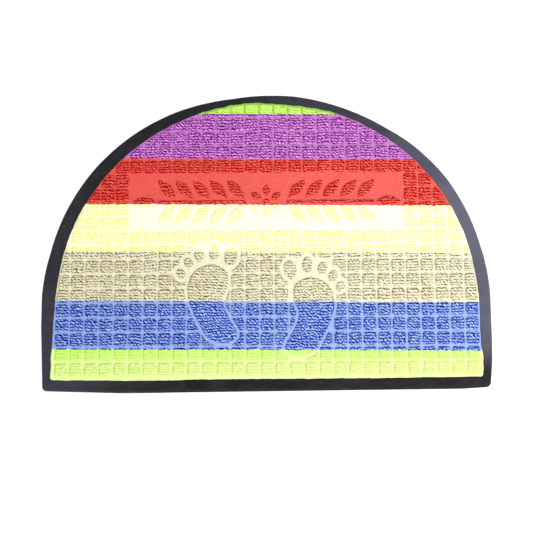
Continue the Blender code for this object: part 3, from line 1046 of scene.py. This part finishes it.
@dataclass(frozen=True)
class Garland:
    """A small flower with a stem to each side, which carries pairs of leaves and ends in one.

    Attributes:
        pairs: Pairs of leaves on a stem.
        pitch: From pair to pair.
        first: From the flower's middle to the foot of the first pair.
        apart: From the stem's middle line to the foot of a leaf.
        spread: Angle between a leaf and its stem.
        blade: Length and half width of a leaf.
        stem_start: From the flower's middle to the start of a stem.
        stem_half: Half the width of a stem.
        petals: How many petals the flower has.
        petal: Length and half width of a petal.
        petal_start: From the flower's middle to the foot of a petal.
        eye: Radius of the flower's middle.
        steps: Points along a leaf, along a petal and around the flower's middle.
    """

    pairs: int = 5
    pitch: float = 0.0232
    first: float = 0.0300
    apart: float = 0.0050
    spread: float = math.radians(47)
    blade: tuple[float, float] = (0.0340, 0.0070)
    stem_start: float = 0.0270
    stem_half: float = 0.0021
    petals: int = 6
    petal: tuple[float, float] = (0.0165, 0.0050)
    petal_start: float = 0.0072
    eye: float = 0.0043
    steps: tuple[int, int, int] = (24, 16, 32)

    def outlines(self) -> list[np.ndarray]:
        """Outline the stems, the leaves and the flower, around the garland's own middle.

        Returns:
            The outlines, each anticlockwise.
        """
        blade_steps, petal_steps, eye_steps = self.steps
        stem_end = self.first + self.pairs * self.pitch
        blade = leaf(*self.blade, blade_steps)
        right = [rectangle(self.stem_start, stem_end, -self.stem_half, self.stem_half)]
        right.append(blade + (stem_end + self.stem_half, 0.0))
        for pair in range(self.pairs):
            upper = turned(blade, self.spread) + (self.first + pair * self.pitch, self.apart)
            right += [upper, upper[::-1] * (1.0, -1.0)]
        left = [turned(outline, math.pi) for outline in right]
        petal = leaf(*self.petal, petal_steps) + (self.petal_start, 0.0)
        flower = [turned(petal, math.tau * (number + 0.5) / self.petals) for number in range(self.petals)]
        return [*right, *left, *flower, ellipse(self.eye, self.eye, eye_steps)]


@dataclass(frozen=True)
class Ribs:
    """Ribs of the needle-punched pile, which run across the mat and wander.

    Attributes:
        pitch: From rib to rib.
        groove_depth: Depth of a groove between two ribs.
        groove_band: Swell under which a groove starts, and how far under it is full.
        wander: Noises that shift the ribs, and the most that each shifts them.
        breaks: Noise that fills the grooves up here and there.
        break_slant: How far its cells lean, as a slope.
        openness: Share of a groove that is open on average, and how much the breaks change that.
        knots: Noise that roughens the crests.
        knot_height: Height of that.
        tuft_pitch: From tuft to tuft, across their lean.
        tuft_lean: Lean of the tufts' rows, down to the right, in degrees.
        tuft_swell: How much a tuft adds to a rib's swell or takes from it.
        tuft_stray: Noise that bends their rows.
        tuft_bend: Most that it bends them, in pitches.
    """

    pitch: float = 0.0037
    groove_depth: float = 0.0009
    groove_band: tuple[float, float] = (0.66, 0.42)
    wander: Noises = (
        (SoftNoise(0.045, 0.030, 11), 0.0022),
        (SoftNoise(0.0085, 0.0070, 12), 0.0008),
        (SoftNoise(0.0022, 0.0042, 13), 0.0007),
    )
    breaks: SoftNoise = SoftNoise(0.0026, 0.0019, 14)
    break_slant: float = 0.6
    openness: tuple[float, float] = (0.75, 0.9)
    knots: SoftNoise = SoftNoise(0.0021, 0.0016, 15)
    knot_height: float = 0.00022
    tuft_pitch: float = 0.0033
    tuft_lean: float = 45.0
    tuft_swell: float = 0.36
    tuft_stray: SoftNoise = SoftNoise(0.0060, 0.0060, 16)
    tuft_bend: float = 0.6

    def relief(self, x: np.ndarray, y: np.ndarray) -> tuple[np.ndarray, np.ndarray]:
        """Work out the swell of the ribs and how much they are sunk below the top of the pile.

        The phase is Y, shifted by the wandering, over the pitch. The swell is the size of the sine
        of half a turn x phase, plus the cosine of the tufts' own phase x their swell. A groove is
        the smooth step of how far the swell is under its band, and the breaks fill it up in places.
        The knots sink it all by up to their height.

        Args:
            x: Places along X.
            y: Places along Y.

        Returns:
            Swell, from about -0.4 to 1.4, and depth below the top of the pile.
        """
        level = y + sum(noise.at(x, y) * most for noise, most in self.wander)
        lean = math.radians(self.tuft_lean)
        rows = (x * math.sin(lean) + y * math.cos(lean)) / self.tuft_pitch
        rows += self.tuft_bend * self.tuft_stray.at(x, y)
        swell = np.abs(np.sin(math.pi * level / self.pitch)) + self.tuft_swell * np.cos(math.tau * rows)
        start, width = self.groove_band
        share, change = self.openness
        opened = smooth_step(share + change * self.breaks.at(x + self.break_slant * y, y))
        groove = smooth_step((start - swell) / width) * opened
        return swell, self.groove_depth * groove + self.knot_height * (0.5 - 0.5 * self.knots.at(x, y))


@dataclass
class CarpetFace:
    """The carpet: pressed blocks, channels, a garland on a smooth panel, and a pair of footprints.

    Attributes:
        layout: Sizes shared with the rubber.
        finish: What it is made of.
        ribs: Ribs of the pile.
        footprint: Shape of a footprint.
        garland: Shape of the garland.
        block_width: Width of a block in the lowest row.
        widening: How much wider a block is in the highest row, where the die pressed less.
        block_corner: Radius of its corners.
        columns_each_side: Blocks on each side of the middle column.
        rows: Rows of blocks.
        lowest_channel: Y of the channel nearest to the straight edge.
        margin: Width of the pressed strip along the cut edge.
        least_share: A block of which less is left is pressed flat.
        panel_columns: Blocks to each side of the middle that the smooth panel takes.
        panel_rows: First row of the panel, and the first above it.
        sole_channel: Width of the channel around a sole.
        toe_channel: Width of the channel around a toe.
        heels: Centre of each heel, from the middle column.
        reach: How far around a raised shape its depth is worked out.
        slope_width: Width of the rounded slope from a channel up to the pile.
        bulge: Power that bends that slope.
        ease: Depth inside the pile's edge over which its ribs and its colour come up.
        edge_noise: Noise that the tufts at the edge of the pile stray by.
        edge_stray: How far they stray.
        melt_noise: Noise of the pressed channels' surface.
        melt_height: Height of that.
        cut_round: Width of the rounded cut edge of the carpet, and its height.
        foot_shade_ring: How far inside the pile's edge its painted shade at the foot is, and half its width.
        foot_shade_share: How dark that painted shade is, as a share of the groove's colour, at a side that
            faces +Y, away from the lamps.
        side_shade_share: How much of that painted shade is left at a side that faces along X.
        kept: Share of standing pile in the channels along Y, where the die pressed them least.
        kept_loss: How much of that share is lost to the right, X where the loss starts, and its width.
        kept_half: Half the width of it where it fades out, and how softly.
        kept_gap: How far from a crossing it starts, and how softly.
        columns: Grid lines over half a block's pitch, outwards from its middle, as shares.
        grid_rows: The same along Y, closer together because the ribs lie across.
        band_starts: First row of blocks of each band.
        sharp: Angle past which an edge isn't shaded smooth.
    """

    layout: MatLayout
    finish: NeedlePunchedPile = field(default_factory=NeedlePunchedPile)
    ribs: Ribs = Ribs()
    footprint: Footprint = Footprint()
    garland: Garland = Garland()
    block_width: float = 0.0170
    widening: float = 0.0008
    block_corner: float = 0.0036
    columns_each_side: int = 14
    rows: int = 19
    lowest_channel: float = -0.1806
    margin: float = 0.0018
    least_share: float = 0.10
    panel_columns: int = 9
    panel_rows: tuple[int, int] = (10, 14)
    sole_channel: float = 0.0036
    toe_channel: float = 0.0050
    heels: tuple[tuple[Foot, tuple[float, float]], ...] = (
        (Foot.RIGHT, (0.0460, -0.1373)),
        (Foot.LEFT, (-0.0625, -0.1193)),
    )
    reach: float = 0.010
    slope_width: float = 0.0025
    bulge: float = 2.2
    ease: float = 0.0012
    edge_noise: SoftNoise = SoftNoise(0.0030, 0.0025, 18)
    edge_stray: float = 0.0006
    melt_noise: SoftNoise = SoftNoise(0.0030, 0.0026, 16)
    melt_height: float = 0.00006
    cut_round: tuple[float, float] = (0.0011, 0.0007)
    foot_shade_ring: tuple[float, float] = (0.0008, 0.0013)
    foot_shade_share: float = 0.95
    side_shade_share: float = 0.40
    kept: float = 0.30
    kept_loss: tuple[float, float, float] = (0.7, -0.10, 0.22)
    kept_half: tuple[float, float] = (0.0026, 0.0014)
    kept_gap: tuple[float, float] = (0.0010, 0.0014)
    columns: tuple[float, ...] = (
        0.0, 0.098, 0.196, 0.294, 0.392, 0.488, 0.578, 0.660, 0.734, 0.796, 0.840, 0.876, 0.936, 1.0,
    )
    grid_rows: tuple[float, ...] = (
        0.0, 0.075, 0.150, 0.225, 0.300, 0.375, 0.450, 0.525, 0.600, 0.672, 0.738, 0.796, 0.840, 0.876,
        0.936, 1.0,
    )
    band_starts: tuple[int, ...] = (0, 3, 6, 9, 12, 15)
    sharp: float = math.radians(75)

    def lines(self, shares: tuple[float, ...], middle: float, low: float, high: float) -> np.ndarray:
        """Place the grid lines of one axis.

        They are the shares of half a pitch to both sides of each block's middle, block after block.

        Args:
            shares: Grid lines over half a pitch, from 0 to 1.
            middle: Middle of any one block.
            low: Where the lines may start.
            high: Where they may end.

        Returns:
            Places of the lines, in order.
        """
        pitch = self.layout.block_pitch
        half = np.array(shares[1:]) * pitch / 2.0
        around = np.concatenate([-half[:-1][::-1], [0.0], half])
        first, last = math.floor((low - middle) / pitch), math.ceil((high - middle) / pitch)
        middles = middle + pitch * np.arange(first, last + 1)
        return (middles[:, None] + around).ravel()

    def raised(
        self, x: np.ndarray, y: np.ndarray, outlines: list[np.ndarray], up: float = 0.0
    ) -> np.ndarray:
        """Measure depth inside any of some outlines; out of their reach it is minus the reach.

        Args:
            x: Places along X.
            y: Places along Y.
            outlines: The outlines, with X from the middle column.
            up: How far they are moved up.

        Returns:
            The greatest of the depths.
        """
        deepest = np.full(x.shape, -self.reach)
        for outline in outlines:
            placed = outline + (self.layout.middle, up)
            low, high = placed.min(axis=0) - self.reach, placed.max(axis=0) + self.reach
            close = (x > low[0]) & (x < high[0]) & (y > low[1]) & (y < high[1])
            depth = depth_inside(np.column_stack([x[close], y[close]]), placed)
            deepest[close] = np.maximum(deepest[close], depth)
        return deepest

    def block_depth(self, x: np.ndarray, y: np.ndarray, pressed: np.ndarray) -> np.ndarray:
        """Measure depth inside the blocks of the grid, cut by what is pressed around them.

        Inside a square with rounded corners it is radius - length of (q held above 0) - (the larger
        q held below 0), where q is the distance from the middle less half the width, plus the radius.

        Args:
            x: Places along X.
            y: Places along Y.
            pressed: Depth inside the part of the carpet that has blocks at all.

        Returns:
            Depth of each place, negative in a channel.
        """
        pitch = self.layout.block_pitch
        column = np.rint((x - self.layout.middle) / pitch).astype(int)
        row = np.floor((y - self.lowest_channel) / pitch).astype(int)
        away_x = np.abs(x - self.layout.middle - column * pitch)
        away_y = np.abs(y - self.lowest_channel - (row + 0.5) * pitch)
        inner = (self.block_width + self.widening * row / self.rows) / 2.0 - self.block_corner
        over_x, over_y = away_x - inner, away_y - inner
        beyond = np.hypot(np.maximum(over_x, 0.0), np.maximum(over_y, 0.0))
        depth = self.block_corner - beyond - np.minimum(np.maximum(over_x, over_y), 0.0)
        depth = np.minimum(depth, pressed)

        side = self.columns_each_side
        first, above = self.panel_rows
        in_panel = (row >= first) & (row < above) & (np.abs(column) <= self.panel_columns)
        beside = (row < 0) | (row >= self.rows) | (np.abs(column) > side)
        across = 2 * side + 3   # the columns of blocks and one more on each side
        number = np.clip(row + 1, 0, self.rows + 1) * across + np.clip(column + side + 1, 0, across - 1)
        weight = np.gradient(x, axis=1) * np.gradient(y, axis=0) * (depth > 0.0)
        left = np.bincount(number.ravel(), weight.ravel(), minlength=(self.rows + 2) * across)
        dropped = left[number] < self.least_share * self.block_width ** 2
        return np.where(in_panel | beside | dropped, OFF_GRID, depth)

    def kept_pile(self, x: np.ndarray, y: np.ndarray) -> np.ndarray:
        """Work out how much pile is left standing in the channels along Y, away from the crossings.

        The die has pressed them better at the right than at the left.

        Args:
            x: Places along X.
            y: Places along Y.

        Returns:
            Share of standing pile, 0 outside those channels.
        """
        pitch = self.layout.block_pitch
        beside = np.abs((x - self.layout.middle) / pitch % 1.0 - 0.5) * pitch
        above = np.abs(((y - self.lowest_channel) / pitch + 0.5) % 1.0 - 0.5) * pitch
        half, soft = self.kept_half
        gap, soft_end = self.kept_gap
        inside = smooth_step((half - beside) / soft) * smooth_step((above - gap) / soft_end)
        most, start, width = self.kept_loss
        return self.kept * (1.0 - most * smooth_step((x - start) / width)) * inside

    def heights(self, x: np.ndarray, y: np.ndarray, rim: np.ndarray) -> dict[str, np.ndarray]:
        """Work out the carpet's top, where its pile is and where painted shade lies at its foot, and its
        ribs' swell.

        The height is the channel's + the pile's x (1 - (1 - share) to the power of the bulge), where
        share is the depth inside a raised shape over the width of its slope, less the ribs' relief
        on raised pile. It falls off at the cut edge by a quarter of a circle.

        Args:
            x: Places along X.
            y: Places along Y.
            rim: Depth inside the cut edge.

        Returns:
            Arrays named height, pile, swell and foot.
        """
        layout = self.layout
        feet = [self.footprint.outlines(foot, heel) for foot, heel in self.heels]
        soles = self.raised(x, y, [foot[0] for foot in feet])
        toes = self.raised(x, y, [toe for foot in feet for toe in foot[1:]])
        panel_middle = self.lowest_channel + sum(self.panel_rows) / 2.0 * layout.block_pitch
        leaves = self.raised(x, y, self.garland.outlines(), panel_middle)
        inner_edge = layout.carpet.depth(x, y) - self.margin
        pressed = np.minimum.reduce([inner_edge, -soles - self.sole_channel, -toes - self.toe_channel])
        blocks = self.block_depth(x, y, pressed)
        depth = np.maximum.reduce([blocks, soles, toes, leaves])
        depth += self.edge_stray * self.edge_noise.at(x, y)

        raised = 1.0 - (1.0 - np.clip(depth / self.slope_width, 0.0, 1.0)) ** self.bulge
        ribbed = smooth_step(depth / self.ease)
        swell, sunk = self.ribs.relief(x, y)
        height = layout.channel_height + (layout.pile_top - layout.channel_height) * raised
        height += (1.0 - ribbed) * self.melt_height * self.melt_noise.at(x, y) - ribbed * sunk
        width, drop = self.cut_round
        height -= drop * (1.0 - np.sqrt(1.0 - np.clip(1.0 - rim / width, 0.0, 1.0) ** 2))

        # painted shade: a dark ring at the foot of the pile, darkest on sides that face +Y, away from the
        # lamps
        inwards, half = self.foot_shade_ring
        facing = np.clip(-np.gradient(depth, axis=0) / np.gradient(y, axis=0), -1.0, 1.0)
        foot = self.foot_shade_share * np.clip(self.side_shade_share + (1.0 - self.side_shade_share) * facing, 0.0, 1.0)
        kept = self.kept_pile(x, y) * ((blocks > OFF_GRID) & (pressed > 0.0))
        return {
            "height": height,
            "pile": np.maximum(smooth_step(depth / self.ease + 0.5), kept),
            "swell": swell,
            "foot": foot * smooth_step(1.0 - np.abs(depth - inwards) / half),
        }

    def snapped(self, x: np.ndarray, y: np.ndarray, rim: np.ndarray) -> tuple[np.ndarray, ...]:
        """Move the grid points beside the cut edge onto it.

        Where the edge crosses a grid line between two points, it does so at the share d / (d - e),
        for depths d and e at the two. The nearer point may move there, and takes its least move.

        Args:
            x: X of the grid points, by row and column.
            y: Y of the same.
            rim: Depth inside the cut edge of the same.

        Returns:
            X and Y after the moves, and which points are on the edge.
        """
        least = np.full(rim.shape, 0.5)
        new_x, new_y, on_rim = x.copy(), y.copy(), np.zeros(rim.shape, dtype=bool)
        first, last, every = slice(None, -1), slice(1, None), slice(None)
        for one, other in (((first, every), (last, every)), ((every, first), (every, last))):
            for here, there in ((one, other), (other, one)):
                crosses = (rim[here] > 0.0) != (rim[there] > 0.0)
                share = rim[here] / np.where(crosses, rim[here] - rim[there], 1.0)
                moves = crosses & (share < least[here])
                least[here][moves] = share[moves]
                new_x[here][moves] = (x[here] + (x[there] - x[here]) * share)[moves]
                new_y[here][moves] = (y[here] + (y[there] - y[here]) * share)[moves]
                on_rim[here][moves] = True
        return new_x, new_y, on_rim

    def faces(self, kept: np.ndarray, inside: np.ndarray) -> tuple[np.ndarray, np.ndarray]:
        """Find the faces between grid points that are kept.

        Args:
            kept: Which points are inside the cut edge or on it, by row and column.
            inside: Which points are inside it.

        Returns:
            Corners of the four-sided and of the three-sided faces, one row each, anticlockwise.
        """
        numbers = np.arange(kept.size).reshape(kept.shape)
        around = [numbers[:-1, :-1], numbers[:-1, 1:], numbers[1:, 1:], numbers[1:, :-1]]
        cells = np.stack(around, axis=-1).reshape(-1, 4)
        cells = cells[inside.ravel()[cells].any(axis=1)]
        holds = kept.ravel()[cells]
        three = holds.sum(axis=1) == 3
        order = (np.argmin(holds[three], axis=1)[:, None] + np.arange(1, 4)) % 4
        return cells[holds.all(axis=1)], np.take_along_axis(cells[three], order, axis=1)

    def build(self) -> list[bpy.types.Object]:
        """Make the carpet's bands.

        Returns:
            The pieces, from the straight edge upwards.
        """
        layout = self.layout
        outline = layout.carpet.points()
        low, high = outline.min(axis=0), outline.max(axis=0)
        pitch = layout.block_pitch
        columns = self.lines(self.columns, layout.middle, low[0], high[0])
        rows = self.lines(self.grid_rows, self.lowest_channel + pitch / 2.0, low[1], high[1])
        x, y = np.meshgrid(columns, rows)
        rim = layout.carpet_depth(x, y)
        relief = self.heights(x, y, rim)
        x, y, on_rim = self.snapped(x, y, rim)
        relief["height"][on_rim] = layout.channel_height - self.cut_round[1]
        inside = (rim > 0.0) & ~on_rim
        finish = self.finish.material()

        cuts = [self.lowest_channel + start * pitch for start in self.band_starts[1:]]
        marks = [0, *(int(np.argmin(np.abs(rows - cut))) for cut in cuts), len(rows) - 1]
        pieces = []
        for number, (start, end) in enumerate(zip(marks, marks[1:]), 1):
            part = slice(start, end + 1)
            arrays = {name: values[part] for name, values in relief.items()}
            piece = self.band(f"carpet_band_{number}", x[part], y[part], inside[part], on_rim[part], arrays)
            piece.data.materials.append(finish)
            pieces.append(piece)
        return pieces

    def band(
        self,
        name: str,
        x: np.ndarray,
        y: np.ndarray,
        inside: np.ndarray,
        on_rim: np.ndarray,
        relief: dict[str, np.ndarray],
    ) -> bpy.types.Object:
        """Make one band as a closed solid: its top, a wall around it and one face below.

        The wall hangs from the sides that only one face of the top has. The face below takes the
        wall's lower points in order of their direction from the band's middle, because a band is
        convex but for the small strays of its cut edge.

        Args:
            name: Name of the piece.
            x: X of its grid points, by row and column.
            y: Y of the same.
            inside: Which of them are inside the cut edge.
            on_rim: Which are on it.
            relief: Arrays named height, pile, swell and foot.

        Returns:
            The piece.
        """
        quads, triangles = self.faces(inside | on_rim, inside)
        used, renumbered = np.unique(np.concatenate([quads.ravel(), triangles.ravel()]), return_inverse=True)
        quads = renumbered[:quads.size].reshape(-1, 4)
        triangles = renumbered[quads.size:].reshape(-1, 3)
        points = np.column_stack([x.ravel()[used], y.ravel()[used], relief["height"].ravel()[used]])

        starts = np.concatenate([quads.ravel(), triangles.ravel()])
        ends = np.concatenate([np.roll(quads, -1, axis=1).ravel(), np.roll(triangles, -1, axis=1).ravel()])
        count = len(points)
        lone = ~np.isin(starts * count + ends, ends * count + starts)
        starts, ends = starts[lone], ends[lone]
        middle = (points[:, :2].min(axis=0) + points[:, :2].max(axis=0)) / 2.0
        away = points[starts, :2] - middle
        ring = starts[np.argsort(np.arctan2(away[:, 1], away[:, 0]))]
        lower = np.full(count, -1)
        lower[ring] = count + np.arange(len(ring))
        walls = np.stack([ends, starts, lower[starts], lower[ends]], axis=1)
        floor_points = points[ring].copy()
        floor_points[:, 2] = self.layout.recess_floor + self.layout.fuse_gap

        solid = np.concatenate([points, floor_points])
        corners = np.concatenate([quads.ravel(), triangles.ravel(), walls.ravel(), lower[ring][::-1]])
        sides = np.repeat([4, 3, 4, len(ring)], [len(quads), len(triangles), len(walls), 1])
        uv = self.bake_places(solid, corners, len(ring))
        piece = add_piece(name, solid, corners, sides, uv, self.sharp)
        for attribute in ("pile", "swell", "foot"):
            values = relief[attribute].ravel()[used]
            set_attribute(piece, attribute, np.concatenate([values, values[ring]]))

        return piece

    def bake_places(self, points: np.ndarray, corners: np.ndarray, below: int) -> np.ndarray:
        """Lay a band out on the bake map, seen from above: the top and walls large, the underside small.

        Args:
            points: The band's points.
            corners: Numbers of the points at its faces' corners.
            below: How many corners the last face, the underside, has.

        Returns:
            Place on the map for each corner.
        """
        low, high = points[:, :2].min(axis=0), points[:, :2].max(axis=0)
        share = (points[corners, :2] - low) / (high - low)
        top_corner, top_size = (0.005, 0.005), (0.99, 0.90)
        underside_corner, underside_size = (0.005, 0.92), (0.99, 0.075)
        places = top_corner + share * top_size
        places[-below:] = underside_corner + share[-below:] * underside_size
        return places


# The studio


@dataclass
class Studio:
    """A pale floor, soft light from the lower right, and the camera above the mat.

    Attributes:
        floor_half: Half the floor's side.
        floor_colour: Colour of the floor.
        focal_pixels: Focal length, in pixels of the photograph.
        tilt: Camera's lean from straight above, towards the straight edge, in degrees.
        roll: Camera's turn about its own axis, in degrees.
        aim: Point of the mat in the middle of the picture.
        distance: From that point to the camera.
        clip: Nearest and furthest that the camera sees.
        sky_band: Height of a direction at which the sky starts to dim, and at which it is dimmest.
        sky: Strength of the sky at the horizon and overhead.
        sun_strength: Strength of the broad lamp far off.
        sun_angle: Its breadth, in degrees.
        sun_from: Direction that it shines from.
        panel_power: Power of the lit panel to the right, in watts.
        panel_side: Its side.
        panel_place: Where it stands. It faces the mat's middle.
    """

    floor_half: float = 12.0
    floor_colour: str = "#F6F6F6"
    focal_pixels: float = 900.0
    tilt: float = 7.11
    roll: float = -0.39
    aim: tuple[float, float, float] = (0.0008, -0.0346, 0.0)
    distance: float = 1.2100
    clip: tuple[float, float] = (0.05, 60.0)
    sky_band: tuple[float, float] = (0.05, 0.75)
    sky: tuple[float, float] = (1.0, 0.44)
    sun_strength: float = 1.95
    sun_angle: float = 40.0
    sun_from: tuple[float, float, float] = (0.05, -0.60, 0.85)
    panel_power: float = 11.0
    panel_side: float = 0.8
    panel_place: tuple[float, float, float] = (0.90, 0.10, 1.10)

    def floor(self) -> bpy.types.Object:
        """Lay the floor of matt studio paper just under the mat.

        Returns:
            The floor.
        """
        half = self.floor_half
        corners = [(-half, -half, 0.0), (half, -half, 0.0), (half, half, 0.0), (-half, half, 0.0)]
        mesh = bpy.data.meshes.new("floor")
        mesh.from_pydata(corners, [], [(0, 1, 2, 3)])
        floor = bpy.data.objects.new("floor", mesh)
        bpy.context.scene.collection.objects.link(floor)
        # uncoated paper, matt, so that no lamp shows in it
        paper, tree, shader = new_material("matt studio paper")
        set_inputs(tree, shader, {"Base Color": linear(self.floor_colour), "Roughness": 0.9})
        set_inputs(tree, shader, {"Specular IOR Level": 0.1})
        mesh.materials.append(paper)
        floor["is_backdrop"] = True
        return floor

    def lights(self) -> None:
        """Light the mat: a white sky that is dimmer overhead, a broad far lamp and a near lit panel."""
        world = bpy.data.worlds.new("studio")
        bpy.context.scene.world = world
        world.use_nodes = True
        tree = world.node_tree
        towards = add_node(tree, "TexCoord").outputs["Generated"]
        level = add_node(tree, "SeparateXYZ", (towards,)).outputs["Z"]
        strength = add_node(
            tree, "MapRange", (level, *self.sky_band, *self.sky), interpolation_type="SMOOTHSTEP"
        )
        set_inputs(tree, tree.nodes["Background"], {"Color": (1.0, 1.0, 1.0, 1.0), "Strength": strength})
        sun = bpy.data.lights.new("sun", "SUN")
        sun.energy = self.sun_strength
        sun.angle = math.radians(self.sun_angle)
        panel = bpy.data.lights.new("panel", "AREA")
        panel.energy = self.panel_power
        panel.size = self.panel_side
        for lamp, place in ((sun, self.sun_from), (panel, self.panel_place)):
            holder = bpy.data.objects.new(lamp.name, lamp)
            holder.location = place
            holder.rotation_mode = "QUATERNION"
            holder.rotation_quaternion = Vector(place).to_track_quat("Z", "Y")
            bpy.context.scene.collection.objects.link(holder)

    def camera(self) -> bpy.types.Object:
        """Put the camera where the photograph was taken from.

        It stands back from the point that it aims at, along a line that leans towards -Y.

        Returns:
            The camera.
        """
        lens = bpy.data.cameras.new("camera")
        lens.sensor_width = SENSOR_WIDTH
        lens.lens = self.focal_pixels / PHOTO_SIDE * SENSOR_WIDTH
        lens.clip_start, lens.clip_end = self.clip
        camera = bpy.data.objects.new("camera", lens)
        tilt = math.radians(self.tilt)
        back = Vector((0.0, -math.sin(tilt), math.cos(tilt)))
        place = Matrix.Translation(Vector(self.aim) + back * self.distance)
        turn = Matrix.Rotation(tilt, 4, "X") @ Matrix.Rotation(math.radians(self.roll), 4, "Z")
        camera.matrix_world = place @ turn
        bpy.context.scene.collection.objects.link(camera)
        bpy.context.scene.camera = camera
        return camera

    def build(self) -> None:
        """Set up the floor, the lights, the camera and a plain view of the colours."""
        self.floor()
        self.lights()
        self.camera()
        view = bpy.context.scene.view_settings
        view.view_transform = "Standard"
        view.look = "None"


def hang_on(pieces: list[bpy.types.Object], node: str) -> None:
    """Let pieces ride on the mat in place of a CAD node, and log them.

    Args:
        pieces: The pieces.
        node: CAD node that they stand for.
    """
    for piece in pieces:
        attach(piece, "root")
        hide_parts(node)
        LOG.info("%s: %d points, for %s", piece.name, len(piece.data.vertices), node)


def boxes() -> Iterator[list[list[float]]]:
    """Give the CAD model's box and the visual model's, each as its two corners."""
    for low, high in (CAD_BOX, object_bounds()):
        yield [[float(value) for value in low], [float(value) for value in high]]


def main() -> None:
    """Build the rubber, the carpet and the studio, in that order."""
    logging.basicConfig(level=logging.INFO, format="%(message)s")
    layout = MatLayout()
    hang_on([RubberBacking(layout).build()], "backing")
    hang_on(CarpetFace(layout).build(), "pile")
    Studio().build()


if __name__ == "__main__":
    main()
    dict(zip(("cad", "visual"), boxes()))
